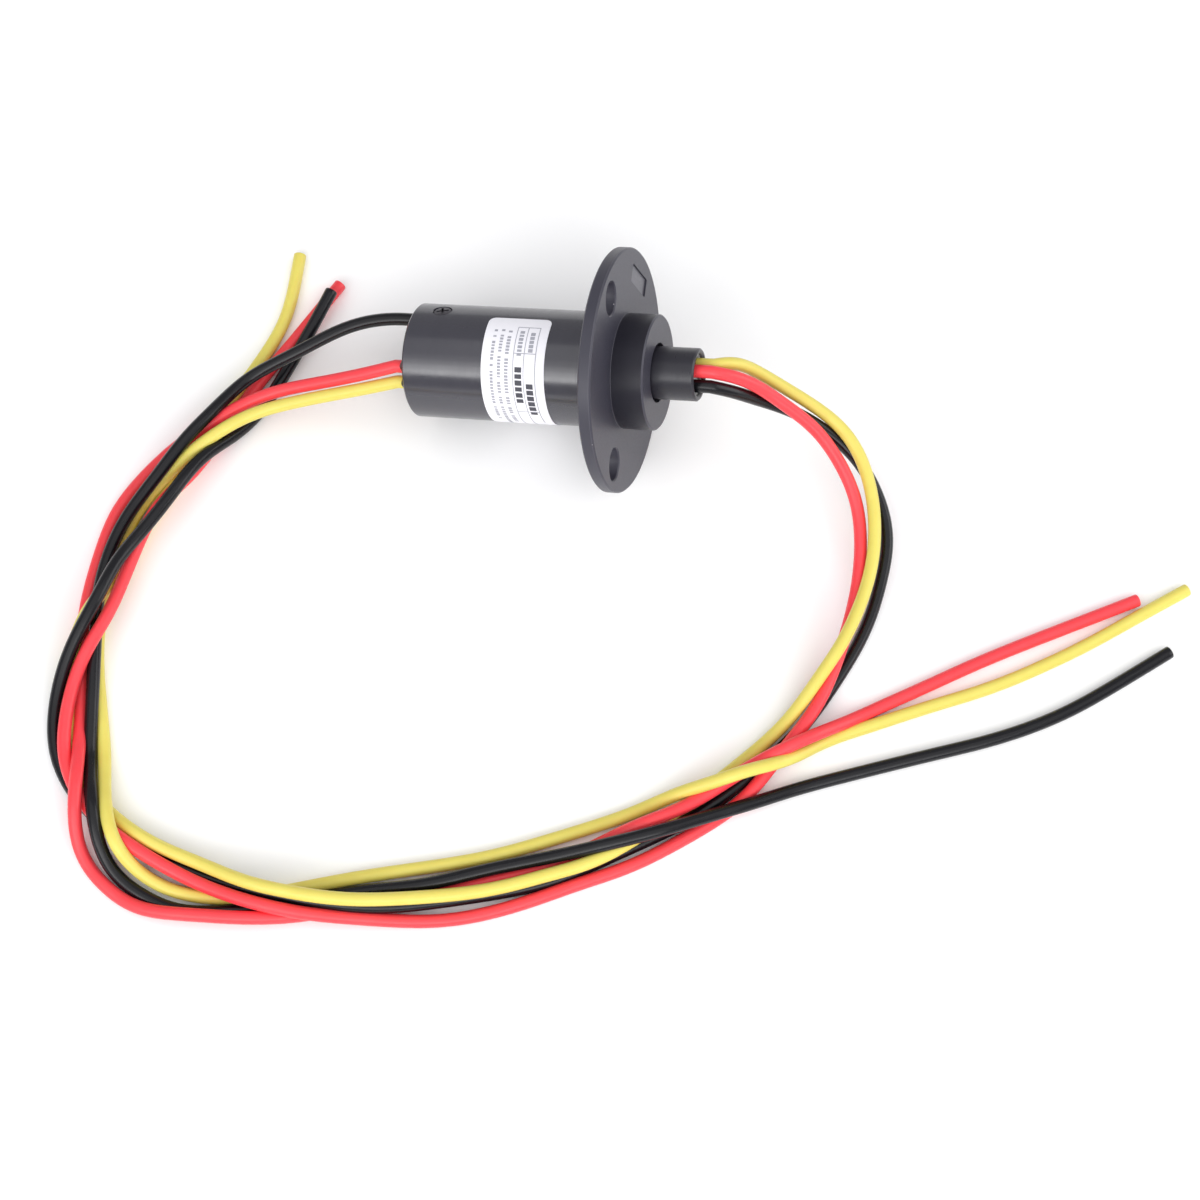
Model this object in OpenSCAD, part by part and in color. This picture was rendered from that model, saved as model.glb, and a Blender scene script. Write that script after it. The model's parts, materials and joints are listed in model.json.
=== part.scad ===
// Capsule slip ring: a flanged stator housing and a hollow rotor shaft, joined by two ball
// bearings, three contact rings with brush wires, and six flexible leads. It lies on its side,
// on the rear edge of the housing and the rim of the flange.

/* [Housing] */
// Outer diameter of the housing tube
housing_d = 21; // [20.6:0.1:22]
// Wall of the housing tube
housing_wall = 1.3; // [1.1:0.1:1.3]
// Length of the housing tube, from its rear edge to the back of the flange
housing_len = 37.5; // [37.5:0.5:45]

/* [Flange] */
// Diameter of the mounting flange
flange_d = 44.5; // [43:0.5:50]
// Thickness of the mounting flange
flange_t = 2.4; // [2:0.1:3]
// Number of bolt holes
hole_count = 3; // [3:1:4]
// Diameter of a bolt hole
hole_d = 6; // [4:0.1:6.2]
// Metal between a bolt hole and the rim of the flange
hole_edge = 1.75; // [1.5:0.05:2.5]
// Diameter of the boss in front of the flange
boss_d = 21; // [18:0.5:24]
// Length of the boss
boss_len = 6; // [5.5:0.5:8]

/* [Shaft] */
// Outer diameter of the shaft where it leaves the boss
shaft_d = 9.6; // [9.2:0.1:9.7]
// Length of shaft in front of the boss
shaft_out = 7.7; // [6:0.1:12]
// Diameter of the wire bore in the shaft
bore_d = 7.6; // [7.2:0.1:7.8]

/* [Bearings] */
// Bore of the front bearing
front_bearing_bore = 10; // [10:0.1:10.2]
// Outer diameter of the front bearing
front_bearing_od = 15; // [14.8:0.1:15.2]
// Width of the front bearing
front_bearing_w = 4; // [3.6:0.1:4]
// Number of balls in the front bearing
front_ball_count = 11; // [8:1:12]
// Bore of the rear bearing
rear_bearing_bore = 4; // [3.8:0.1:4.2]
// Outer diameter of the rear bearing
rear_bearing_od = 9; // [8.8:0.1:9.2]
// Width of the rear bearing
rear_bearing_w = 4; // [3.6:0.1:4]
// Number of balls in the rear bearing
rear_ball_count = 7; // [6:1:7]
// Diameter of a ball
ball_d = 1.5; // [1.4:0.05:1.5]

/* [Contacts] */
// Outer diameter of a contact ring
ring_d = 11.2; // [11:0.1:11.4]
// Width of a contact ring
ring_w = 4.4; // [4:0.1:4.4]
// Outer diameter of an insulating barrier
barrier_d = 11.8; // [11.6:0.1:12]
// Thickness of an insulating barrier
barrier_t = 1.6; // [1.2:0.1:1.6]
// Diameter of a brush wire
brush_wire_d = 0.4; // [0.3:0.05:0.45]

/* [Leads] */
// Outer diameter of a lead's insulation
lead_d = 2.4; // [2:0.1:2.5]
// Wall of the rear cap outside the leads
exit_wall = 0.6; // [0.5:0.1:0.8]

/* [Hidden] */

// Fits and clearances
edge_c = 0.3;
brush_gap = 0.05;
race_gap = 0.03;
cage_gap = 0.25;
lip_gap = 0.6;
block_gap = 0.4;
spigot_gap = 2.5;
stack_gap = 2.5;
conductor_gap = 0.8;
head_gap = 0.1;
cut = 1;
round_fn = 64;
small_fn = 32;

// Places along the axis, from the rear edge of the housing
body_r = housing_d / 2;
inner_r = body_r - housing_wall;
flange_r = flange_d / 2;
flange_front = housing_len + flange_t;
boss_front = flange_front + boss_len;
mouth = boss_front + shaft_out;
lip_t = 1.5;
lip_rear = boss_front - lip_t;
front_bearing_rear = lip_rear - front_bearing_w;
cap_rear = 0.5;
cap_len = 8;
cap_front = cap_rear + cap_len;
rear_bearing_rear = cap_front - rear_bearing_w;

// Bearings
front_pitch_r = (front_bearing_bore + front_bearing_od) / 4;
rear_pitch_r = (rear_bearing_bore + rear_bearing_od) / 4;
ball_r = ball_d / 2;
bearing_ring_t = 0.7;
cage_len = 2.6;

// Rotor
shaft_r = shaft_d / 2;
bore_r = bore_d / 2;
lip_r = shaft_r + lip_gap;
core_wall = 0.7;
core_r = bore_r + core_wall;
journal_r = rear_bearing_bore / 2;
journal_tip = 1;
clip_t = 0.5;
clip_depth = 0.3;
clip_groove_r = journal_r - clip_depth;
clip_slot = 1.6;
clip_r = 2.9;
clip_pocket_r = 3.2;
clip_pocket_len = 2.5;
journal_rear = rear_bearing_rear - clip_t - journal_tip;
bore_rear = cap_front + 3;

// Ring stack
ring_count = 3;
stack_rear = cap_front + stack_gap;
stack_pitch = ring_w + barrier_t;
stack_front = stack_rear + ring_count * stack_pitch + barrier_t;
wire_r = brush_wire_d / 2;
groove_r = wire_r + brush_gap;
groove_spacing = 2.2;
wire_offset = ring_d / 2 - brush_gap;
lead_out_r = 0.5;

// Brush blocks
block_inner = barrier_d / 2 + block_gap;
block_half_w = 6.2;
block_rear = stack_rear - block_gap;
block_front = stack_front + block_gap;
block_angle = 164;
spigot_rear = block_front + spigot_gap;
wire_tip = -2.6;
wire_root = sqrt(inner_r ^ 2 - (wire_offset + wire_r) ^ 2);

// Leads
lead_r = lead_d / 2;
conductor_r = 0.35;
joint_r = 0.45;
joint_len = 2;
inner_lead_end = block_rear - conductor_gap;
exit_r = inner_r - exit_wall - lead_r;
bead_w = 0.55;
bead_tip_w = 0.2;
bead_out = 1;
potting_depth = 0.8;
potting_len = 4;
// Angles about the axis, from the underside towards +Y
hole_angle = 161.5;
screw_angle = 145.5;
label_angle = 155;
label_wrap = 190;
exit_black = 110;
exit_red = 218;
exit_yellow = 242;
// Centres of the rotor leads in the mouth: towards the underside, then towards +Y
mouth_red = [-1.4, 0];
mouth_black = [0.3, -2.1];
mouth_yellow = [0, 2.1];

// A free lead starts straight, in line with the shaft
lead_straight = 3;
lead_sides = 8;

// Rest pose: the axis climbs from the rear edge of the housing to the flange
tilt = atan((flange_r - body_r) / housing_len);
axis = [cos(tilt), 0, sin(tilt)];
under = [sin(tilt), 0, -cos(tilt)];
rear_top_x = -2 * body_r * sin(tilt) + edge_c * cos(tilt);
mouth_low_x = mouth * cos(tilt) + (shaft_r - body_r) * sin(tilt);
rear_centre = [-body_r * sin(tilt) - (rear_top_x + mouth_low_x) / 2, 0,
    body_r * cos(tilt) - edge_c * sin(tilt)];

module rest_pose() {
    translate(rear_centre) rotate([0, 90 - tilt, 0]) children();
}

// A round tube from z0 to z1, with its inner and outer radius
module tube(inner, outer, z0, z1) {
    translate([0, 0, z0]) difference() {
        cylinder(r = outer, h = z1 - z0, $fn = round_fn);
        translate([0, 0, -cut]) cylinder(r = inner, h = z1 - z0 + 2 * cut, $fn = round_fn);
    }
}

// A rod from z0 to z1 at a place off the axis
module rod(place, r, z0, z1) {
    translate([place[0], place[1], z0]) cylinder(r = r, h = z1 - z0, $fn = small_fn);
}

// A rod that points out from the axis, from radius r0 to radius r1
module spoke(angle, z, r, r0, r1) {
    rotate([0, 0, angle]) translate([r0, 0, z]) rotate([0, 90, 0])
        cylinder(r = r, h = r1 - r0, $fn = small_fn);
}

function polar(r, angle) = [r * cos(angle), r * sin(angle)];

// Where a point given along and across the shaft lies at rest
function at_rest(place, z) = rear_centre + place[0] * under + [0, place[1], 0] + z * axis;

/* Stator */

screw_z = 5.5;
screw_head_r = 1.65;
screw_head_t = 0.7;
screw_hole_r = 1.1;
screw_shank_r = 0.8;
screw_tip = 5.6;
screw_seat = body_r - 0.85;

module housing_tube() {
    color([0.09, 0.09, 0.1]) rest_pose() difference() {
        rotate_extrude($fn = round_fn) polygon([
            [inner_r, 0], [body_r - edge_c, 0], [body_r, edge_c],
            [body_r, housing_len], [inner_r, housing_len]]);
        for (turn = [0, 180]) {
            spoke(screw_angle + turn, screw_z, screw_hole_r, inner_r - cut, body_r + cut);
            spoke(screw_angle + turn, screw_z, screw_head_r + head_gap, screw_seat, body_r + cut);
        }
    }
}

recess_len = 9.6;
recess_w = 3.4;
recess_depth = 0.3;
hole_circle_r = flange_r - hole_edge - hole_d / 2;
recess_r = hole_circle_r - 0.3;

module front_flange() {
    seat_r = front_bearing_od / 2;
    color([0.25, 0.24, 0.27]) rest_pose() difference() {
        rotate_extrude($fn = round_fn) polygon([
            [seat_r, spigot_rear], [inner_r, spigot_rear], [inner_r, housing_len],
            [flange_r - edge_c, housing_len], [flange_r, housing_len + edge_c],
            [flange_r, flange_front - edge_c], [flange_r - edge_c, flange_front],
            [boss_d / 2, flange_front], [boss_d / 2, boss_front - edge_c],
            [boss_d / 2 - edge_c, boss_front], [lip_r, boss_front],
            [lip_r, lip_rear], [seat_r, lip_rear]]);
        for (i = [0 : hole_count - 1])
            rod(polar(hole_circle_r, hole_angle + i * 360 / hole_count), hole_d / 2,
                housing_len - cut, flange_front + cut);
        rotate([0, 0, hole_angle - 180 / hole_count])
            translate([recess_r - recess_w / 2, -recess_len / 2, flange_front - recess_depth])
            cube([recess_w, recess_len, recess_depth + cut]);
    }
}

module rear_cap() {
    color([0.2, 0.2, 0.21]) rest_pose() difference() {
        rod([0, 0], inner_r, cap_rear, cap_front);
        rod([0, 0], rear_bearing_od / 2, rear_bearing_rear, cap_front + cut);
        rod([0, 0], clip_pocket_r, rear_bearing_rear - clip_pocket_len, cap_front);
        for (angle = [exit_red, exit_black, exit_yellow])
            rod(polar(exit_r, angle), lead_r, cap_rear - cut, cap_front + cut);
        for (turn = [0, 180])
            spoke(screw_angle + turn, screw_z, screw_shank_r, screw_tip, inner_r + cut);
    }
}

module cap_screws() {
    slot_depth = 0.4;
    slot_w = 0.45;
    head_out = screw_seat + screw_head_t;
    color([0.35, 0.35, 0.37]) rest_pose() for (turn = [0, 180]) difference() {
        union() {
            spoke(screw_angle + turn, screw_z, screw_head_r, screw_seat, head_out);
            spoke(screw_angle + turn, screw_z, screw_shank_r, screw_tip, screw_seat);
        }
        rotate([0, 0, screw_angle + turn]) for (arm = [0, 90])
            translate([head_out, 0, screw_z]) rotate([arm, 0, 0])
            cube([2 * slot_depth, slot_w, 1.4 * screw_head_r], center = true);
    }
}

label_rear = 15.5;
label_w = 12;
label_t = 0.1;

module label() {
    color([0.95, 0.95, 0.97]) rest_pose() rotate([0, 0, label_angle])
        rotate_extrude(angle = label_wrap, $fn = round_fn)
        translate([body_r, label_rear]) square([label_t, label_w]);
}

module exit_potting() {
    bead_r = lead_r + bead_w;
    color([0.12, 0.11, 0.13]) rest_pose() for (angle = [exit_red, exit_black, exit_yellow])
        translate(polar(exit_r, angle)) rotate_extrude($fn = small_fn) polygon([
            [lead_r, cap_rear], [bead_r, cap_rear], [bead_r, 0],
            [lead_r + bead_tip_w, -bead_out], [lead_r, -bead_out]]);
}

/* Bearings */

// A bearing race: a ring with the ball track cut into it
module race(inner, outer, z0, width, pitch_r) {
    difference() {
        tube(inner, outer, z0, z0 + width);
        translate([0, 0, z0 + width / 2]) rotate_extrude($fn = round_fn)
            translate([pitch_r, 0]) circle(r = ball_r + race_gap, $fn = small_fn);
    }
}

module balls(count, z0, width, pitch_r) {
    for (i = [0 : count - 1])
        rotate([0, 0, i * 360 / count]) translate([pitch_r, 0, z0 + width / 2])
        sphere(r = ball_r, $fn = small_fn);
}

// A cage: a thin ring with one round pocket for each ball
module cage(count, z0, width, pitch_r, race_t, inner, outer) {
    middle = z0 + width / 2;
    difference() {
        tube(inner + race_t + cage_gap, outer - race_t - cage_gap,
            middle - cage_len / 2, middle + cage_len / 2);
        for (i = [0 : count - 1])
            spoke(i * 360 / count, middle, ball_r, inner, outer);
    }
}

module front_bearing_outer_ring() {
    outer = front_bearing_od / 2;
    color([0.75, 0.76, 0.78]) rest_pose()
        race(outer - bearing_ring_t, outer, front_bearing_rear, front_bearing_w, front_pitch_r);
}

module front_bearing_inner_ring() {
    inner = front_bearing_bore / 2;
    color([0.75, 0.76, 0.78]) rest_pose()
        race(inner, inner + bearing_ring_t, front_bearing_rear, front_bearing_w, front_pitch_r);
}

module front_bearing_balls() {
    color([0.85, 0.85, 0.87]) rest_pose()
        balls(front_ball_count, front_bearing_rear, front_bearing_w, front_pitch_r);
}

module front_bearing_cage() {
    color([0.8, 0.7, 0.45]) rest_pose()
        cage(front_ball_count, front_bearing_rear, front_bearing_w, front_pitch_r,
            bearing_ring_t, front_bearing_bore / 2, front_bearing_od / 2);
}

module rear_bearing_outer_ring() {
    outer = rear_bearing_od / 2;
    color([0.75, 0.76, 0.78]) rest_pose()
        race(outer - bearing_ring_t, outer, rear_bearing_rear, rear_bearing_w, rear_pitch_r);
}

module rear_bearing_inner_ring() {
    inner = rear_bearing_bore / 2;
    color([0.75, 0.76, 0.78]) rest_pose()
        race(inner, inner + bearing_ring_t, rear_bearing_rear, rear_bearing_w, rear_pitch_r);
}

module rear_bearing_balls() {
    color([0.85, 0.85, 0.87]) rest_pose()
        balls(rear_ball_count, rear_bearing_rear, rear_bearing_w, rear_pitch_r);
}

module rear_bearing_cage() {
    color([0.8, 0.7, 0.45]) rest_pose()
        cage(rear_ball_count, rear_bearing_rear, rear_bearing_w, rear_pitch_r,
            bearing_ring_t, rear_bearing_bore / 2, rear_bearing_od / 2);
}

/* Rotor */

function ring_rear(i) = stack_rear + barrier_t + i * stack_pitch;
function ring_middle(i) = ring_rear(i) + ring_w / 2;
function angle_of(place) = atan2(place[1], place[0]);

rotor_leads = [mouth_black, mouth_red, mouth_yellow];

module rotor_core() {
    seat_r = front_bearing_bore / 2;
    shoulder_r = journal_r + bearing_ring_t;
    shoulder_len = 0.8;
    collar_len = 1.4;
    color([0.3, 0.29, 0.32]) rest_pose() difference() {
        rotate_extrude($fn = round_fn) polygon([
            [0, journal_rear], [journal_r, journal_rear],
            [journal_r, rear_bearing_rear - clip_t],
            [clip_groove_r, rear_bearing_rear - clip_t], [clip_groove_r, rear_bearing_rear],
            [journal_r, rear_bearing_rear], [journal_r, cap_front],
            [shoulder_r, cap_front], [shoulder_r, cap_front + shoulder_len],
            [core_r, cap_front + shoulder_len], [core_r, stack_front],
            [barrier_d / 2, stack_front], [barrier_d / 2, stack_front + collar_len],
            [seat_r + bearing_ring_t, stack_front + collar_len],
            [seat_r + bearing_ring_t, front_bearing_rear],
            [seat_r, front_bearing_rear], [seat_r, lip_rear],
            [shaft_r, lip_rear], [shaft_r, mouth - edge_c], [shaft_r - edge_c, mouth],
            [bore_r + edge_c, mouth], [bore_r, mouth - edge_c],
            [bore_r, bore_rear], [0, bore_rear]]);
        for (i = [0 : ring_count - 1])
            spoke(angle_of(rotor_leads[i]), ring_middle(i), lead_out_r, 0, core_r + cut);
    }
}

module retaining_clip() {
    color([0.5, 0.5, 0.52]) rest_pose() difference() {
        tube(clip_groove_r, clip_r, rear_bearing_rear - clip_t, rear_bearing_rear);
        translate([0, -clip_slot / 2, 0])
            cube([clip_pocket_r, clip_slot, rear_bearing_rear + cut]);
    }
}

module contact_ring(i) {
    color([0.85, 0.68, 0.3]) rest_pose() difference() {
        tube(core_r, ring_d / 2, ring_rear(i), ring_rear(i) + ring_w);
        for (side = [-1, 1])
            translate([0, 0, ring_middle(i) + side * groove_spacing / 2])
            rotate_extrude($fn = round_fn)
            translate([wire_offset, 0]) circle(r = groove_r, $fn = small_fn);
    }
}

module barrier(i) {
    z = stack_rear + i * stack_pitch;
    color([0.15, 0.15, 0.16]) rest_pose() tube(core_r, barrier_d / 2, z, z + barrier_t);
}

/* Brushes */

// The six wires of one block: a pair astride each ring, in the ring's rear or front groove
module wires(turn, side, tip, root) {
    rotate([0, 0, block_angle + turn]) for (i = [0 : ring_count - 1]) for (edge = [-1, 1])
        translate([tip, edge * wire_offset, ring_middle(i) + side * groove_spacing / 2])
        rotate([0, 90, 0]) cylinder(r = wire_r, h = root - tip, $fn = small_fn);
}

module brush_block(turn, side) {
    length = block_front - block_rear;
    color([0.1, 0.25, 0.18]) rest_pose() difference() {
        intersection() {
            rod([0, 0], inner_r, block_rear, block_front);
            rotate([0, 0, block_angle + turn])
                translate([block_inner, -block_half_w, block_rear])
                cube([inner_r, 2 * block_half_w, length]);
        }
        wires(turn, side, block_inner - cut, inner_r + cut);
    }
}

/* Leads inside the housing and the shaft */

// Middles of the pads on the first brush block
pad_r = block_inner + 0.9;
pad_side = block_half_w - 1.8;
pad_middle = 1.2;

module stator_lead_inner(angle) {
    rest_pose() rod(polar(exit_r, angle), lead_r, 0, inner_lead_end);
}

// A bare conductor from the end of a lead to its pad on the rear of the first brush block
module stator_conductor(angle, pad) {
    from = polar(exit_r, angle);
    to = [pad[0] * cos(block_angle) - pad[1] * sin(block_angle),
        pad[0] * sin(block_angle) + pad[1] * cos(block_angle)];
    run = to - from;
    middle = (inner_lead_end + block_rear) / 2;
    rod(from, joint_r, inner_lead_end, middle + joint_r);
    rod(to, joint_r, middle - joint_r, block_rear);
    translate([from[0], from[1], middle]) rotate([0, 0, atan2(run[1], run[0])])
        rotate([0, 90, 0]) cylinder(r = conductor_r, h = norm(run), $fn = small_fn);
}

module stator_conductors() {
    color([0.8, 0.5, 0.3]) rest_pose() {
        stator_conductor(exit_black, [pad_r, -pad_side]);
        stator_conductor(exit_red, [pad_r, pad_side]);
        stator_conductor(exit_yellow, [pad_r, pad_middle]);
    }
}

module rotor_lead_inner(i) {
    rest_pose() rod(rotor_leads[i], lead_r, ring_middle(i) + joint_len, mouth);
}

module rotor_conductors() {
    color([0.8, 0.5, 0.3]) rest_pose() for (i = [0 : ring_count - 1]) intersection() {
        rod([0, 0], core_r, bore_rear, stack_front);
        union() {
            rod(rotor_leads[i], joint_r, ring_middle(i) - conductor_r,
                ring_middle(i) + joint_len);
            spoke(angle_of(rotor_leads[i]), ring_middle(i), conductor_r,
                norm(rotor_leads[i]), core_r + cut);
        }
    }
}

module mouth_potting() {
    front = mouth - potting_depth;
    color([0.1, 0.1, 0.11]) rest_pose() difference() {
        rod([0, 0], bore_r, front - potting_len, front);
        for (place = rotor_leads)
            rod(place, lead_r, front - potting_len - cut, front + cut);
    }
}

/* Free leads */

// Points that each lead lies along, on the surface or over the leads beneath it.
// A lead's middle is lead_d / 2 above the surface, and one lead_d more over each lead it crosses.
stator_red_route = [
    [-32.5, -6, 13.5], [-37, -7, 11.75], [-42.5, -8.5, 9.5], [-49.5, -10.5, 7.5],
    [-56.5, -14, 5], [-61.5, -18.5, 3.5], [-67, -23.5, 1.5], [-73.5, -35.5, 1.25], [-75, -44, 1.25],
    [-75, -59, 1.25], [-71.5, -74.5, 1.25], [-69.5, -82.5, 2.5], [-67.5, -90.5, 6],
    [-66.5, -95.5, 5.5], [-63.5, -103, 1.25], [-54, -109, 1.25], [-46.5, -109.5, 3.25],
    [-31, -107.5, 3.5], [-21, -104, 1.25], [-1.5, -96.5, 1.25], [16.5, -88, 1.25],
    [26.5, -81, 1.75], [31.5, -78, 5.25], [37.5, -74, 3.75], [43, -69, 3.5],
    [49.5, -63, 4.75], [57, -57.5, 6], [67, -49.5, 1.25], [78, -41.5, 1.25],
    [90.5, -32.5, 1.25], [115, -16.5, 1.25]];
stator_black_route = [
    [-38, 5, 10], [-51, -4.5, 7], [-56.5, -8, 4.5], [-62, -18.5, 6.25], [-65, -23.5, 6],
    [-67, -29, 5.75], [-72, -40, 3.75], [-73, -48, 3.75], [-73, -55.5, 3.5],
    [-69, -75, 3.5], [-67, -85, 1.5], [-64, -93, 6.25], [-61.5, -99.5, 4.75],
    [-57.5, -104.5, 1.25], [-51.5, -107, 1.25], [-43.5, -108.5, 1.25], [-25, -103, 1.25],
    [-15, -99, 1.5], [-5, -96.5, 3.5], [5.5, -91.5, 3], [16.5, -87, 3.5], [33, -80, 6.25],
    [43, -74, 3.75], [49.5, -70.5, 3.25], [56.5, -66, 1.25], [67.5, -60.5, 1.25],
    [80, -54.5, 1.25], [92.5, -48.5, 1.25], [103, -42, 1.25], [111.5, -35, 1.25],
    [122, -25.5, 1.25]];
stator_yellow_route = [
    [-33, -8.5, 11.5], [-37.5, -9.5, 10], [-52.5, -15, 6.5], [-59, -20.5, 5.75],
    [-63.5, -25, 4.25], [-68, -32, 3], [-71, -38.5, 1.25], [-72.5, -51.5, 1.25],
    [-71, -65, 1.25], [-65, -83, 1.25], [-62, -92.5, 4.75], [-58.5, -99.5, 6.25],
    [-55.5, -102, 3], [-50.5, -104.5, 1.25], [-43, -105.5, 1.25], [-35, -104, 1.25],
    [-29, -102, 1.25], [-15.5, -96.5, 1.25], [1, -90.5, 1.25], [11, -86, 1.25],
    [29, -76, 1.25], [37, -70.5, 3], [42, -69, 6], [47.5, -65.5, 7.25], [54.5, -62, 5.5],
    [60.5, -56, 1.25], [66.5, -52.5, 1.25], [78.5, -45.5, 1.25], [91, -38.5, 1.25],
    [105, -28.5, 1.25], [114.5, -20.5, 1.25], [124, -12.5, 1.25]];
rotor_yellow_route = [
    [32, 4, 25.5], [37, 5, 21], [54, 1, 13.5], [61.5, -9, 10.5], [64, -19.5, 8],
    [63.5, -28.5, 7], [61, -38.5, 7], [58, -45, 5.5], [54.5, -52.5, 2.5], [49, -60, 1.25],
    [40.5, -70, 1.25], [26.5, -84.5, 3.75], [17, -90, 3.75], [5.5, -95.5, 3.75],
    [-14.5, -101.5, 6], [-28, -102.5, 6.25], [-35.5, -102, 5.25], [-43, -100, 3.25],
    [-51, -98.5, 3], [-57.5, -96, 3], [-64, -92, 1.25], [-69.5, -86.5, 1.25],
    [-74, -73.5, 1.25], [-75, -67.5, 2.75], [-74, -60, 5.5], [-72.5, -56.5, 6],
    [-70.5, -50, 2.5], [-67.5, -36, 1.25], [-61.5, -18.5, 1.25], [-54.5, 1, 1.25],
    [-53, 9.5, 1.25], [-53.5, 21, 1.25]];
rotor_red_route = [
    [32, 0.5, 27], [37.5, 1.5, 22.5], [44, -0.5, 19.5], [49, -1.5, 16.5], [55, -6, 12.5],
    [59.5, -11.5, 9], [62, -21, 6], [62, -33, 4.5], [59, -49, 3.75], [54, -59, 3.5],
    [47.5, -70.5, 1.25], [32.5, -84, 1.25], [22.5, -90, 1.25], [12.5, -96, 1.25],
    [-0.5, -101.5, 1.25], [-21, -105, 3.5], [-27.5, -105.5, 5], [-35, -105, 4.25],
    [-42.5, -103.5, 2.75], [-50, -101.5, 3.5], [-62.5, -96, 3.75], [-70.5, -87.5, 3.25],
    [-72.5, -79.5, 3.75], [-73, -72, 3.75], [-71.5, -64.5, 6.25], [-70, -60.5, 5.75],
    [-69, -51, 5], [-68, -42.5, 4.25], [-66.5, -36, 4.5], [-63, -30.5, 4.25],
    [-61.5, -26, 2.75], [-55.5, -8.5, 1.25], [-51, 1.5, 1.25], [-44.5, 16.5, 1.25]];
rotor_black_route = [
    [32, -1.5, 25], [38.5, 0.5, 19], [46, 1, 15.5], [58.5, -3, 9.25], [66, -14, 6],
    [66.5, -23.5, 4], [65, -34.5, 1.5], [57, -53.5, 1.25], [48, -65.5, 1.25],
    [40.5, -74, 1.25], [23, -87, 1.25], [12.5, -93, 1.25], [-7.5, -100.5, 2.75],
    [-18, -102.5, 3.75], [-32, -103, 3.75], [-39.5, -102, 1.25], [-47, -101, 1.25],
    [-62, -96, 1.25], [-71.5, -88, 1.25], [-75, -80, 1.25], [-75.5, -72.5, 3.5],
    [-74.5, -65.5, 6], [-72, -58, 8.5], [-70.5, -49, 7.5], [-68.5, -44.5, 6.5],
    [-64, -34, 6.75], [-62.5, -29.5, 6.25], [-60, -24, 5], [-57, -19.5, 2.25],
    [-53, -12, 1.25], [-50, -2, 1.5], [-48, 3.5, 3], [-45.5, 13.5, 3.75]];

function stator_route(angle, route) = concat(
    [at_rest(polar(exit_r, angle), 0), at_rest(polar(exit_r, angle), -lead_straight)], route);
function rotor_route(place, route) = concat(
    [at_rest(place, mouth), at_rest(place, mouth + lead_straight)], route);

// The step in height at a point, which keeps the curve between its neighbours' heights
function level_step(before, after) =
    before * after <= 0 ? 0 : 2 * before * after / (before + after);

// The curve's step at a point of a route, which keeps the first stretch straight
function route_step(route, i) =
    i <= 1 ? route[1] - route[0] :
    i == len(route) - 1 ? route[i] - route[i - 1] :
    let (before = route[i] - route[i - 1], after = route[i + 1] - route[i])
    [(before[0] + after[0]) / 2, (before[1] + after[1]) / 2, level_step(before[2], after[2])];

// The curve through the points of a route, and its direction, a share t of the way to the next
function route_point(route, i, t) =
    (2 * t ^ 3 - 3 * t ^ 2 + 1) * route[i] + (3 * t ^ 2 - 2 * t ^ 3) * route[i + 1]
    + (t ^ 3 - 2 * t ^ 2 + t) * route_step(route, i) + (t ^ 3 - t ^ 2) * route_step(route, i + 1);
function route_direction(route, i, t) =
    6 * (t ^ 2 - t) * (route[i] - route[i + 1])
    + (3 * t ^ 2 - 4 * t + 1) * route_step(route, i)
    + (3 * t ^ 2 - 2 * t) * route_step(route, i + 1);

// One ring of points round the curve, square to its direction
function lead_ring(centre, direction) =
    let (side = cross([0, 0, 1], direction) / norm(cross([0, 0, 1], direction)),
        top = cross(direction, side) / norm(direction))
    [for (k = [0 : lead_sides - 1]) let (angle = (k + 0.5) * 360 / lead_sides)
        centre + lead_r * (cos(angle) * side + sin(angle) * top)];

// A lead: rings at the points of its route and midway between them, joined up and closed
module free_lead(route) {
    last = len(route) - 1;
    stops = concat([for (i = [0 : last - 1]) for (t = [0, 0.5]) [i, t]], [[last - 1, 1]]);
    rings = [for (stop = stops) lead_ring(route_point(route, stop[0], stop[1]),
        route_direction(route, stop[0], stop[1]))];
    ring_end = len(rings) - 1;
    corners = [for (ring = rings) each ring];
    walls = [for (i = [0 : ring_end - 1]) for (k = [0 : lead_sides - 1])
        let (a = i * lead_sides + k, b = i * lead_sides + (k + 1) % lead_sides)
        each [[a, b, b + lead_sides], [a, b + lead_sides, a + lead_sides]]];
    start_cap = [for (k = [lead_sides - 1 : -1 : 0]) k];
    end_cap = [for (k = [0 : lead_sides - 1]) ring_end * lead_sides + k];
    polyhedron(corners, concat([start_cap, end_cap], walls), convexity = 10);
}

housing_tube();
front_flange();
rear_cap();
cap_screws();
label();
exit_potting();
front_bearing_outer_ring();
front_bearing_inner_ring();
front_bearing_balls();
front_bearing_cage();
rear_bearing_outer_ring();
rear_bearing_inner_ring();
rear_bearing_balls();
rear_bearing_cage();
rotor_core();
retaining_clip();
contact_ring(0);  // contact_ring_1
contact_ring(1);  // contact_ring_2
contact_ring(2);  // contact_ring_3
barrier(0);  // barrier_1
barrier(1);  // barrier_2
barrier(2);  // barrier_3
barrier(3);  // barrier_4
brush_block(0, -1);  // brush_block_1
brush_block(180, 1);  // brush_block_2
color([0.85, 0.7, 0.35]) rest_pose() wires(0, -1, wire_tip, wire_root);  // brush_wires_1
color([0.85, 0.7, 0.35]) rest_pose() wires(180, 1, wire_tip, wire_root);  // brush_wires_2
color([1, 0.35, 0.38]) stator_lead_inner(exit_red);  // stator_lead_red_inner
color([0.16, 0.16, 0.2]) stator_lead_inner(exit_black);  // stator_lead_black_inner
color([0.91, 0.86, 0.47]) stator_lead_inner(exit_yellow);  // stator_lead_yellow_inner
stator_conductors();
color([0.16, 0.16, 0.2]) rotor_lead_inner(0);  // rotor_lead_black_inner
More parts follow.
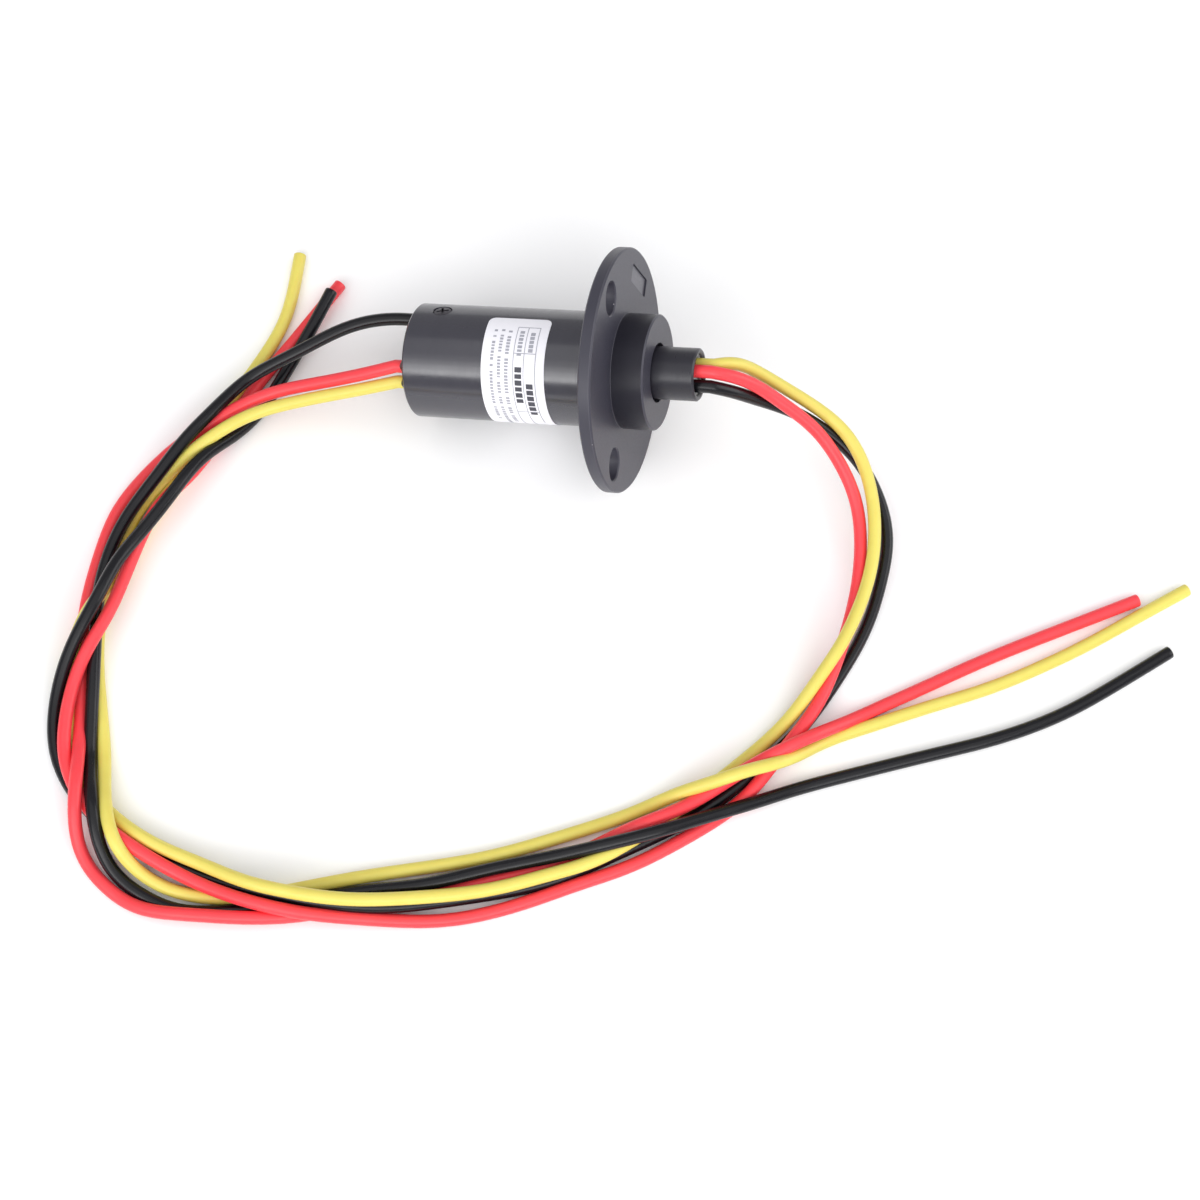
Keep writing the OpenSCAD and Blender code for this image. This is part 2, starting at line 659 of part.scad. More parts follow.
color([1, 0.35, 0.38]) rotor_lead_inner(1);  // rotor_lead_red_inner
color([0.91, 0.86, 0.47]) rotor_lead_inner(2);  // rotor_lead_yellow_inner
rotor_conductors();
mouth_potting();
color([1, 0.35, 0.38]) free_lead(stator_route(exit_red, stator_red_route));  // stator_lead_red
color([0.16, 0.16, 0.2]) free_lead(stator_route(exit_black, stator_black_route));  // stator_lead_black
color([0.91, 0.86, 0.47]) free_lead(stator_route(exit_yellow, stator_yellow_route));  // stator_lead_yellow
color([1, 0.35, 0.38]) free_lead(rotor_route(mouth_red, rotor_red_route));  // rotor_lead_red
color([0.16, 0.16, 0.2]) free_lead(rotor_route(mouth_black, rotor_black_route));  // rotor_lead_black
color([0.91, 0.86, 0.47]) free_lead(rotor_route(mouth_yellow, rotor_yellow_route));  // rotor_lead_yellow
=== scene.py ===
"""Capsule slip ring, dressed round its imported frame.

A flanged tubular stator and a hollow rotor shaft lie on a pale surface, with three soft leads on
each side. Lengths in the sub-assemblies are millimetres along and across the shaft, and every
finished mesh is in metres in the row frame.
"""

import json
import logging
import math
import random
from dataclasses import dataclass, field
from enum import Enum
from typing import Callable, Iterable, NamedTuple, Sequence

import bmesh
import bpy
import numpy
from mathutils import Matrix, Vector


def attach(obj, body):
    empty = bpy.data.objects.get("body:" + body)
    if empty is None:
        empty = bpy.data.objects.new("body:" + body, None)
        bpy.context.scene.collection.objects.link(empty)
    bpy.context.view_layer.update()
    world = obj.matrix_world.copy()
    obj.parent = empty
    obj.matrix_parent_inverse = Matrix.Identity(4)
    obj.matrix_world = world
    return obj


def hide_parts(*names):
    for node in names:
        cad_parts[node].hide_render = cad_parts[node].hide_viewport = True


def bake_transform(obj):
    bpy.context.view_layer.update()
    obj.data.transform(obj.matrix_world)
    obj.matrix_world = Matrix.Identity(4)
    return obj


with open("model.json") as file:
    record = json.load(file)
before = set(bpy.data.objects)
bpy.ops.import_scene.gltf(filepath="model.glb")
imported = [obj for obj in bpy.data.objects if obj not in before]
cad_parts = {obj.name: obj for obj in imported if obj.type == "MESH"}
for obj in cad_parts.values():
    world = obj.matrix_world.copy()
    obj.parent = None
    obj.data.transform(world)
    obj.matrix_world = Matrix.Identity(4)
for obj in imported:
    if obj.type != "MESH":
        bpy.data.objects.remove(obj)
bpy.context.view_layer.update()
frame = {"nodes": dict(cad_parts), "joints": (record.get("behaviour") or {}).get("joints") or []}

log = logging.getLogger("slip_ring")

MM = 0.001
# How deep red, green and blue light goes into the leads' rubber
SKIN_DEPTHS = (0.4 * MM, 0.2 * MM, 0.1 * MM)
Point2 = tuple[float, float]
Point3 = tuple[float, float, float]


class Body(Enum):
    """The bodies that move on their own."""

    STATOR = "stator"
    ROTOR = "rotor"
    FRONT_CAGE = "front_cage"
    REAR_CAGE = "rear_cage"


class Colour(Enum):
    """The colours of lead insulation."""

    RED = "red"
    BLACK = "black"
    YELLOW = "yellow"


# ---------------------------------------------------------------- the shaft's own frame


@dataclass(frozen=True)
class ShaftFrame:
    """The line of the shaft at rest, from the rear edge of the housing towards the mouth."""

    housing_len: float = 37.5

    def axis(self) -> Vector:
        """The shaft's direction at rest."""
        return Vector(spin_joint()["axis"]).normalized()

    def matrix(self) -> Matrix:
        """Turns a place in millimetres along and across the shaft into the row frame.

        Returns:
            Local x points to the underside, local y along the row's +Y, local z along the shaft.
        """
        axis = self.axis()
        under = Vector((axis.z, 0.0, -axis.x))
        rear = Vector(spin_joint()["pos_m"]) - axis * self.housing_len * MM
        turn = Matrix((under, Vector((0.0, 1.0, 0.0)), axis)).transposed().to_4x4()
        return Matrix.Translation(rear) @ turn @ Matrix.Scale(MM, 4)

    def at(self, x: float, y: float, z: float) -> Vector:
        """A place in the row frame, in metres, from millimetres along and across the shaft."""
        return self.matrix() @ Vector((x, y, z))


def spin_joint() -> dict:
    """The joint on which the rotor turns."""
    return next(j for j in frame["joints"] if j["name"] == "rotor_spin")


SHAFT = ShaftFrame()


def polar(radius: float, degrees: float) -> Point2:
    """A place across the shaft, from the underside towards +Y."""
    return radius * math.cos(math.radians(degrees)), radius * math.sin(math.radians(degrees))


# ---------------------------------------------------------------- materials


def linear(code: str) -> tuple[float, float, float, float]:
    """Turns an sRGB hex value into linear red, green, blue and full opacity.

    Args:
        code: Six hex digits after a #.

    Returns:
        The linear colour.
    """
    channels = [int(code[i : i + 2], 16) / 255 for i in (1, 3, 5)]
    curved = [c / 12.92 if c <= 0.04045 else ((c + 0.055) / 1.055) ** 2.4 for c in channels]
    return (*curved, 1.0)


def add_node(
    tree: bpy.types.NodeTree,
    kind: str,
    settings: dict | None = None,
    values: dict | None = None,
    links: dict | None = None,
) -> bpy.types.Node:
    """Adds a node with its settings, its constants and its incoming links.

    Args:
        tree: The shader or geometry tree.
        kind: The node's type name.
        settings: Attributes of the node.
        values: Constants by socket name or number.
        links: Output sockets by the name or number of the input that they feed.

    Returns:
        The new node.
    """
    node = tree.nodes.new(kind)
    for name, value in (settings or {}).items():
        setattr(node, name, value)
    for key, value in (values or {}).items():
        node.inputs[key].default_value = value
    for key, output in (links or {}).items():
        tree.links.new(output, node.inputs[key])
    return node


def arithmetic(
    tree: bpy.types.NodeTree,
    operation: str,
    values: dict | None = None,
    links: dict | None = None,
) -> bpy.types.NodeSocket:
    """Adds one sum to a tree.

    Args:
        tree: The shader or geometry tree.
        operation: The sum, such as ADD.
        values: Constants by input number.
        links: Output sockets by the number of the input that they feed.

    Returns:
        The result's socket.
    """
    settings = {"operation": operation}
    return add_node(tree, "ShaderNodeMath", settings, values, links).outputs[0]


@dataclass(frozen=True)
class Grain:
    """One scale of fine relief.

    Args:
        size_mm: Width of a grain, scratch or streak.
        height_mm: How far the relief stands up.
        stretch: How many times longer than wide it is, along the surface's first direction.
        roughness: How much it changes the roughness.
    """

    size_mm: float
    height_mm: float
    stretch: float = 1.0
    roughness: float = 0.0


@dataclass(frozen=True)
class Finish:
    """A finish made of one base substance, a colour that drifts a little, and fine relief."""

    name: str
    colour: str
    drift: str
    drift_mm: float = 3.0
    roughness: float = 0.4
    metallic: float = 0.0
    coat: float = 0.0
    coat_roughness: float = 0.1
    specular: float = 0.5
    subsurface: float = 0.0
    grains: tuple[Grain, ...] = ()
    on_uv: bool = False
    specks: str = ""

    def build(self) -> bpy.types.Material:
        """Makes the material once and returns it afterwards.

        Returns:
            The material, named for what it is.
        """
        known = bpy.data.materials.get(self.name)
        if known:
            return known
        material = bpy.data.materials.new(self.name)
        material.use_nodes = True
        tree = material.node_tree
        tree.nodes.clear()
        shader = self.shader(tree)
        place = self.coordinates(tree)
        self.paint(tree, shader, place)
        self.relief(tree, shader, place)
        add_node(tree, "ShaderNodeOutputMaterial", links={"Surface": shader.outputs[0]})
        return material

    def shader(self, tree: bpy.types.NodeTree) -> bpy.types.Node:
        """Adds the surface shader with every constant on its own socket.

        Args:
            tree: The material's tree.

        Returns:
            The shader.
        """
        values = {
            "Roughness": self.roughness,
            "Metallic": self.metallic,
            "Coat Weight": self.coat,
            "Coat Roughness": self.coat_roughness,
            "Specular IOR Level": self.specular,
        }
        shader = add_node(tree, "ShaderNodeBsdfPrincipled", values=values)
        if self.subsurface:
            shader.inputs["Subsurface Weight"].default_value = self.subsurface
            shader.inputs["Subsurface Radius"].default_value = SKIN_DEPTHS
            shader.inputs["Subsurface Scale"].default_value = 1.0
        return shader

    def coordinates(self, tree: bpy.types.NodeTree) -> bpy.types.NodeSocket:
        """Adds the surface coordinates, in millimetres, turned in line with the shaft.

        Args:
            tree: The material's tree.

        Returns:
            The coordinates.
        """
        source = add_node(tree, "ShaderNodeTexCoord")
        if self.on_uv:
            return source.outputs["UV"]
        tilt = math.atan2(SHAFT.axis().z, SHAFT.axis().x)
        mapping = add_node(
            tree,
            "ShaderNodeMapping",
            settings={"vector_type": "POINT"},
            values={"Rotation": (0.0, tilt, 0.0), "Scale": (1 / MM, 1 / MM, 1 / MM)},
            links={"Vector": source.outputs["Object"]},
        )
        return mapping.outputs[0]

    def noise(
        self, tree: bpy.types.NodeTree, place: bpy.types.NodeSocket, size: float, stretch: float
    ) -> bpy.types.NodeSocket:
        """Adds a noise whose features have a size in millimetres.

        Args:
            tree: The material's tree.
            place: Coordinates in millimetres.
            size: Width of a feature.
            stretch: How many times longer than wide it is.

        Returns:
            The noise's value, from 0 to 1.
        """
        squeezed = add_node(
            tree,
            "ShaderNodeVectorMath",
            settings={"operation": "MULTIPLY"},
            values={1: (1 / (size * stretch), 1 / size, 1 / size)},
            links={0: place},
        )
        return add_node(
            tree,
            "ShaderNodeTexNoise",
            values={"Scale": 1.0, "Detail": 3.0, "Roughness": 0.6},
            links={"Vector": squeezed.outputs[0]},
        ).outputs["Fac"]

    def paint(
        self, tree: bpy.types.NodeTree, shader: bpy.types.Node, place: bpy.types.NodeSocket
    ) -> None:
        """Feeds the base colour: two near shades in soft patches, and specks where asked.

        Args:
            tree: The material's tree.
            shader: The surface shader.
            place: Coordinates in millimetres.
        """
        patches = self.noise(tree, place, self.drift_mm, 1.0)
        shades = add_node(
            tree,
            "ShaderNodeMix",
            settings={"data_type": "RGBA"},
            values={6: linear(self.colour), 7: linear(self.drift)},
            links={0: patches},
        )
        colour = shades.outputs[2]
        if self.specks:
            colour = self.speckled(tree, colour, place)
        tree.links.new(colour, shader.inputs["Base Color"])

    def speckled(
        self,
        tree: bpy.types.NodeTree,
        colour: bpy.types.NodeSocket,
        place: bpy.types.NodeSocket,
    ) -> bpy.types.NodeSocket:
        """Lays specks of dust over a colour: about one cell in fourteen may show one.

        Args:
            tree: The material's tree.
            colour: The colour under the specks.
            place: Coordinates in millimetres.

        Returns:
            The colour with its specks.
        """
        cells = add_node(
            tree, "ShaderNodeTexVoronoi", values={"Scale": 0.9}, links={"Vector": place}
        )
        near = arithmetic(tree, "LESS_THAN", {1: 0.085}, {0: cells.outputs["Distance"]})
        split = add_node(
            tree, "ShaderNodeSeparateColor", links={"Color": cells.outputs["Color"]}
        )
        rare = arithmetic(tree, "GREATER_THAN", {1: 0.93}, {0: split.outputs[0]})
        both = arithmetic(tree, "MULTIPLY", links={0: near, 1: rare})
        return add_node(
            tree,
            "ShaderNodeMix",
            settings={"data_type": "RGBA"},
            values={7: linear(self.specks)},
            links={0: both, 6: colour},
        ).outputs[2]

    def relief(
        self, tree: bpy.types.NodeTree, shader: bpy.types.Node, place: bpy.types.NodeSocket
    ) -> None:
        """Feeds the normal and the roughness from each scale of grain in turn.

        Args:
            tree: The material's tree.
            shader: The surface shader.
            place: Coordinates in millimetres.
        """
        normal = None
        rough = None
        for grain in self.grains:
            value = self.noise(tree, place, grain.size_mm, grain.stretch)
            links = {"Height": value}
            if normal is not None:
                links["Normal"] = normal
            normal = add_node(
                tree,
                "ShaderNodeBump",
                values={"Strength": 1.0, "Distance": grain.height_mm * MM},
                links=links,
            ).outputs[0]
            if grain.roughness:
                rough = self.roughened(tree, value, rough, grain.roughness)
        if normal is not None:
            tree.links.new(normal, shader.inputs["Normal"])
        if rough is not None:
            tree.links.new(rough, shader.inputs["Roughness"])

    def roughened(
        self,
        tree: bpy.types.NodeTree,
        value: bpy.types.NodeSocket,
        before: bpy.types.NodeSocket | None,
        amount: float,
    ) -> bpy.types.NodeSocket:
        """Adds a grain's share to the roughness.

        Args:
            tree: The material's tree.
            value: The grain's noise.
            before: Roughness so far, or None for the finish's own.
            amount: Change of roughness from the lowest to the highest value.

        Returns:
            The roughness with the grain's share.
        """
        spread = add_node(
            tree,
            "ShaderNodeMapRange",
            values={1: 0.3, 2: 0.7, 3: -amount / 2, 4: amount / 2},
            links={0: value},
        )
        links = {1: spread.outputs[0]}
        if before is not None:
            links[0] = before
        return add_node(
            tree,
            "ShaderNodeMath",
            settings={"operation": "ADD", "use_clamp": True},
            values={0: self.roughness},
            links=links,
        ).outputs[0]


# Hard-anodised and polished aluminium tube: deep black with clear, slightly streaked reflections
HOUSING_BLACK = Finish(
    "black_anodised_tube",
    "#2c2b35",
    "#32313b",
    roughness=0.2,
    specular=0.95,
    on_uv=True,
    grains=(
        Grain(0.22, 0.0012, stretch=24.0, roughness=0.1),
        Grain(1.6, 0.004, stretch=2.0, roughness=0.06),
    ),
)
# Bead-blasted and anodised aluminium: satin charcoal with a faint violet cast and a fine tooth
FLANGE_CHARCOAL = Finish(
    "blasted_anodised_flange",
    "#35343f",
    "#3c3b46",
    roughness=0.42,
    specular=0.5,
    drift_mm=6.0,
    grains=(Grain(0.2, 0.006, roughness=0.1), Grain(2.5, 0.006)),
    specks="#b8b6bd",
)
# The floor of the flange's shallow panel: the same metal, pressed smoother, so it looks lighter
PANEL_GREY = Finish(
    "pressed_panel_floor",
    "#4a4952",
    "#56555f",
    drift_mm=0.8,
    roughness=0.36,
    specular=0.6,
    grains=(Grain(0.25, 0.01, roughness=0.12),),
)
# The side of the boss: turned and not blasted, and painted darker than the faces, partly as painted
# shade on the side that faces away from the lights
BOSS_TURNED_AND_SHADE = Finish(
    "turned_boss_and_painted_shade",
    "#201f27",
    "#282730",
    roughness=0.36,
    specular=0.28,
    grains=(Grain(0.2, 0.004, roughness=0.1), Grain(2.5, 0.004)),
)
# The same metal turned, on the shaft: satin, with fine marks round it
SHAFT_CHARCOAL = Finish(
    "turned_anodised_shaft",
    "#1f1e26",
    "#27262f",
    roughness=0.34,
    specular=0.55,
    on_uv=True,
    grains=(Grain(0.16, 0.0035, stretch=30.0, roughness=0.14), Grain(1.2, 0.003)),
)
# Glass-filled nylon cap, moulded: dull black with a slight orange peel
CAP_NYLON = Finish(
    "moulded_nylon_cap",
    "#201f22",
    "#27262a",
    roughness=0.5,
    grains=(Grain(0.3, 0.008, roughness=0.12), Grain(1.8, 0.01)),
)
# Black-oxide steel screws: dark, close to gloss, with a trace of brown
SCREW_OXIDE = Finish(
    "black_oxide_steel",
    "#37353c",
    "#434046",
    drift_mm=0.6,
    roughness=0.36,
    metallic=0.7,
    grains=(Grain(0.12, 0.003, roughness=0.14),),
)
# Vinyl sticker: cool white with a soft sheen and barely any texture
LABEL_VINYL = Finish(
    "white_vinyl_label",
    "#f6f5fa",
    "#efeef5",
    drift_mm=5.0,
    roughness=0.42,
    coat=0.15,
    coat_roughness=0.3,
    grains=(Grain(0.25, 0.0015, roughness=0.06), Grain(3.0, 0.01)),
)
# Thermal-transfer ink: dull, near black
PRINT_DARK = Finish(
    "printed_ink_dark",
    "#3a3a42",
    "#50505a",
    drift_mm=0.4,
    roughness=0.6,
    grains=(Grain(0.15, 0.001, roughness=0.1),),
)
# The same ink in thin strokes, which reads as a pale grey
PRINT_GREY = Finish(
    "printed_ink_grey",
    "#9697a1",
    "#aeafb8",
    drift_mm=0.4,
    roughness=0.6,
    grains=(Grain(0.15, 0.001, roughness=0.1),),
)
# Epoxy potting: black, glossy, with the slow waves of a surface that set by itself
POTTING_EPOXY = Finish(
    "black_epoxy_potting",
    "#141316",
    "#1d1b1f",
    drift_mm=1.0,
    roughness=0.22,
    coat=0.3,
    coat_roughness=0.12,
    grains=(Grain(0.9, 0.02), Grain(0.2, 0.003, roughness=0.08)),
)
# Through-hardened bearing steel, ground: bright, with fine marks along the track
BEARING_STEEL = Finish(
    "ground_bearing_steel",
    "#b9bbc0",
    "#a8abb1",
    roughness=0.24,
    metallic=1.0,
    grains=(Grain(0.1, 0.0012, stretch=12.0, roughness=0.1),),
)
# Bearing balls, lapped: close to a mirror
BALL_STEEL = Finish(
    "lapped_ball_steel",
    "#d3d5d9",
    "#c6c8cd",
    roughness=0.08,
    metallic=1.0,
    grains=(Grain(0.3, 0.0004, roughness=0.05),),
)
# Pressed brass cage: warm, with a slight tarnish in patches
CAGE_BRASS = Finish(
    "pressed_brass_cage",
    "#c79a4c",
    "#a67c38",
    drift_mm=1.4,
    roughness=0.33,
    metallic=1.0,
    grains=(Grain(0.18, 0.002, roughness=0.12),),
)
# Hard-gold plate on a turned brass ring: yellow and bright, with turning marks
RING_GOLD = Finish(
    "gold_plated_contact_ring",
    "#e3b55a",
    "#d6a548",
    drift_mm=2.0,
    roughness=0.2,
    metallic=1.0,
    grains=(Grain(0.09, 0.0015, stretch=16.0, roughness=0.1),),
)
# Drawn spring wire of a gold alloy
WIRE_GOLD = Finish(
    "gold_alloy_brush_wire",
    "#dcae5c",
    "#cf9d4b",
    drift_mm=1.0,
    roughness=0.26,
    metallic=1.0,
    grains=(Grain(0.06, 0.0008, stretch=10.0, roughness=0.08),),
)
# Tinned copper strands: grey with a breath of copper
TINNED_COPPER = Finish(
    "tinned_copper_strand",
    "#b9aca3",
    "#c08d6c",
    drift_mm=0.5,
    roughness=0.34,
    metallic=1.0,
    grains=(Grain(0.08, 0.001, roughness=0.12),),
)
# Moulded insulating discs between the rings
BARRIER_RESIN = Finish(
    "moulded_insulating_resin",
    "#1c1b1d",
    "#262427",
    roughness=0.42,
    grains=(Grain(0.25, 0.004, roughness=0.1),),
)
# Glass-epoxy laminate: dark green, with its weave just showing through the lacquer
BRUSH_LAMINATE = Finish(
    "glass_epoxy_laminate",
    "#16402c",
    "#1d4f36",
    drift_mm=0.9,
    roughness=0.3,
    coat=0.4,
    grains=(Grain(0.35, 0.004, stretch=3.0, roughness=0.08),),
)


@dataclass(frozen=True)
class InsulationFinish(Finish):
    """Silicone rubber: soft satin, faint streaks along the lead, light under the skin."""

    roughness: float = 0.36
    specular: float = 0.42
    on_uv: bool = True
    drift_mm: float = 4.0
    grains: tuple[Grain, ...] = (
        Grain(0.28, 0.006, stretch=18.0, roughness=0.1),
        Grain(1.1, 0.012, stretch=2.5, roughness=0.05),
    )


INSULATION = {
    Colour.RED: InsulationFinish("red_silicone_insulation", "#f8484f", "#f03f48", subsurface=0.2),
    Colour.BLACK: InsulationFinish(
        "black_silicone_insulation", "#0b0b0f", "#121217", roughness=0.25, specular=0.36
    ),
    Colour.YELLOW: InsulationFinish(
        "yellow_silicone_insulation", "#e5d86c", "#dccd5e", subsurface=0.2
    ),
}


# ---------------------------------------------------------------- meshes


def rounded(outline: Sequence[Point2], radius: float, steps: int = 4) -> list[Point2]:
    """Rounds every corner of a closed outline with a small arc.

    Args:
        outline: Corners, in millimetres.
        radius: Radius of the arcs, made less where a side is short.
        steps: Points in each arc, less one.

    Returns:
        The outline with its arcs.
    """
    points: list[Point2] = []
    count = len(outline)
    for i, corner in enumerate(outline):
        here = Vector(corner)
        back = Vector(outline[i - 1]) - here
        ahead = Vector(outline[(i + 1) % count]) - here
        turn = back.angle(ahead)
        if turn > math.radians(176):
            points.append(corner)
            continue
        room = 0.45 * min(back.length, ahead.length)
        setback = min(radius / math.tan(turn / 2), room)
        arc = setback * math.tan(turn / 2)
        to_centre = (back.normalized() + ahead.normalized()).normalized()
        centre = here + to_centre * (arc / math.sin(turn / 2))
        first = here + back.normalized() * setback - centre
        last = here + ahead.normalized() * setback - centre
        sweep = first.angle_signed(last)
        for step in range(steps + 1):
            spoke = first.copy()
            spoke.rotate(Matrix.Rotation(-sweep * step / steps, 2))
            points.append(tuple(centre + spoke))
    return points


def divided(outline: Sequence[Point2], longest: float) -> list[Point2]:
    """Splits the long sides of a closed outline, so that a turned mesh has even faces.

    Args:
        outline: The outline, in millimetres.
        longest: The longest side that may stay whole.

    Returns:
        The outline with more points.
    """
    points: list[Point2] = []
    for i, start in enumerate(outline):
        end = outline[(i + 1) % len(outline)]
        span = math.dist(start, end)
        parts = max(1, math.ceil(span / longest))
        for k in range(parts):
            share = k / parts
            points.append(
                (start[0] + (end[0] - start[0]) * share, start[1] + (end[1] - start[1]) * share)
            )
    return points


def new_object(name: str, mesh: bpy.types.Mesh) -> bpy.types.Object:
    """Links a new object at the origin.

    Args:
        name: Its name.
        mesh: Its mesh.

    Returns:
        The object.
    """
    obj = bpy.data.objects.new(name, mesh)
    bpy.context.scene.collection.objects.link(obj)
    return obj


def from_bmesh(name: str, bm: bmesh.types.BMesh) -> bpy.types.Object:
    """Turns a finished bmesh into a linked object and frees it.

    Args:
        name: The name of the object and its mesh.
        bm: The bmesh.

    Returns:
        The object.
    """
    mesh = bpy.data.meshes.new(name)
    bm.to_mesh(mesh)
    bm.free()
    return new_object(name, mesh)


def block(name: str, size: Point3, corner: float = 0.0) -> bpy.types.Object:
    """A box about the origin, with its upright edges rounded where a radius is given.

    Args:
        name: The object's name.
        size: Its lengths along x, y and z.
        corner: Radius of the upright edges.

    Returns:
        The box.
    """
    bm = bmesh.new()
    bmesh.ops.create_cube(bm, size=1.0)
    upright = [e for e in bm.edges if abs(e.verts[0].co.z - e.verts[1].co.z) > 0.5]
    bmesh.ops.scale(bm, vec=size, verts=bm.verts)
    if corner:
        bmesh.ops.bevel(bm, geom=upright, offset=corner, segments=4, affect="EDGES", profile=0.5)
    return from_bmesh(name, bm)


def turned(
    name: str, outline: Sequence[Point2], segments: int = 128, place: Point2 = (0.0, 0.0)
) -> bpy.types.Object:
    """Turns a closed outline of radius and height into a solid, with its UV map in millimetres.

    Args:
        name: The object's name.
        outline: Radius and height of each corner, clear of the axis or on it.
        segments: Faces round the solid.
        place: Where its own axis stands, across the shaft.

    Returns:
        The solid, still in millimetres.
    """
    bm = bmesh.new()
    uv = bm.loops.layers.uv.new("UVMap")
    widest = max(r for r, _ in outline)
    on_axis = [r < 1e-6 for r, _ in outline]
    columns: list[list[bmesh.types.BMVert]] = []
    centre = {
        i: bm.verts.new((*place, z)) for i, (_, z) in enumerate(outline) if on_axis[i]
    }
    for s in range(segments):
        angle = 2 * math.pi * s / segments
        column = []
        for i, (r, z) in enumerate(outline):
            if on_axis[i]:
                column.append(centre[i])
                continue
            x, y = place[0] + r * math.cos(angle), place[1] + r * math.sin(angle)
            column.append(bm.verts.new((x, y, z)))
        columns.append(column)
    along = [0.0]
    for i, start in enumerate(outline):
        along.append(along[-1] + math.dist(start, outline[(i + 1) % len(outline)]))
    for s in range(segments):
        for i in range(len(outline)):
            j = (i + 1) % len(outline)
            if on_axis[i] and on_axis[j]:
                continue
            ring = [(s, i), (s, j), (s + 1, j), (s + 1, i)]
            seen: list[bmesh.types.BMVert] = []
            marks: list[Point2] = []
            for column, row in ring:
                vert = columns[column % segments][row]
                if vert in seen:
                    continue
                seen.append(vert)
                height = along[i + 1] if row == j else along[i]
                marks.append((column / segments * 2 * math.pi * widest, height))
            face = bm.faces.new(seen)
            for loop, mark in zip(face.loops, marks):
                loop[uv].uv = mark
    bmesh.ops.recalc_face_normals(bm, faces=bm.faces)
    return from_bmesh(name, bm)


def plain(obj: bpy.types.Object) -> bpy.types.Object:
    """Turns an object with modifiers into a plain mesh.

    Args:
        obj: The object.

    Returns:
        The same object.
    """
    depsgraph = bpy.context.evaluated_depsgraph_get()
    mesh = bpy.data.meshes.new_from_object(obj.evaluated_get(depsgraph))
    obj.modifiers.clear()
    old = obj.data
    obj.data = mesh
    mesh.name = obj.name
    bpy.data.meshes.remove(old)
    return obj


def cut(obj: bpy.types.Object, cutters: Iterable[bpy.types.Object]) -> bpy.types.Object:
    """Cuts solids out of a piece and removes them.

    Args:
        obj: The piece.
        cutters: Solids to take away, which may not overlap one another.

    Returns:
        The piece as a plain mesh.
    """
    tools = list(cutters)
    for tool in tools:
        modifier = obj.modifiers.new("cut", "BOOLEAN")
        modifier.operation = "DIFFERENCE"
        modifier.solver = "EXACT"
        modifier.object = tool
    bpy.context.view_layer.update()
    plain(obj)
    for tool in tools:
        bpy.data.objects.remove(tool)
    return obj


def rod(
    name: str, outline: Sequence[Point2], place: Point2 = (0.0, 0.0), segments: int = 48
) -> bpy.types.Object:
    """A turned cutter or pin whose outline gives radius and height from its tip to its head."""
    full = [(0.0, outline[0][1]), *outline, (0.0, outline[-1][1])]
    return turned(name, full, segments, place)


def radial(obj: bpy.types.Object, angle: float, height: float) -> bpy.types.Object:
    """Points a solid that stands on the shaft's axis outwards instead, at an angle and height.

    Args:
        obj: The solid.
        angle: Its way round the shaft, in degrees from the underside.
        height: Its place along the shaft.

    Returns:
        The same object.
    """
    turn = Matrix.Rotation(math.radians(angle), 4, "Z")
    lie = Matrix.Rotation(math.radians(90), 4, "Y")
    obj.data.transform(Matrix.Translation((0, 0, height)) @ turn @ lie)
    return obj


def smoothed(obj: bpy.types.Object, angle: float = 38.0) -> bpy.types.Object:
    """Shades a mesh smooth across shallow edges, with its flat faces kept flat.

    Args:
        obj: The object.
        angle: The steepest edge to shade smooth, in degrees.

    Returns:
        The same object.
    """
    obj.data.shade_smooth()
    obj.data.set_sharp_from_angle(angle=math.radians(angle))
    modifier = obj.modifiers.new("weighted", "WEIGHTED_NORMAL")
    modifier.keep_sharp = True
    modifier.weight = 100
    return plain(obj)


def to_rest(obj: bpy.types.Object) -> bpy.types.Object:
    """Moves a mesh from millimetres along the shaft to metres in the row frame.

    Args:
        obj: The object.

    Returns:
        The same object.
    """
    obj.data.transform(SHAFT.matrix())
    obj.data.update()
    return obj


def dress(
    obj: bpy.types.Object,
    finish: Finish,
    body: Body,
    replaces: Sequence[str] = (),
) -> bpy.types.Object:
    """Gives a finished piece its material, its body and the nodes that it stands for.

    Args:
        obj: The piece, in the row frame.
        finish: Its finish.
        body: The body that it rides on.
        replaces: CAD nodes that it stands for.

    Returns:
        The piece.
    """
    obj.data.materials.clear()
    obj.data.materials.append(finish.build())
    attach(obj, body.value)
    if replaces:
        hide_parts(*replaces)
    log.info("%s: %d faces on %s", obj.name, len(obj.data.polygons), body.value)
    return obj


def dress_nodes(names: Iterable[str], finish: Finish) -> None:
    """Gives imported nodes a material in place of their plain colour.

    Args:
        names: The nodes.
        finish: Their finish.
    """
    for name in names:
        mesh = frame["nodes"][name].data
        mesh.materials.clear()
        mesh.materials.append(finish.build())
        log.info("%s: packed node in %s", name, finish.name)


# ---------------------------------------------------------------- geometry node trees


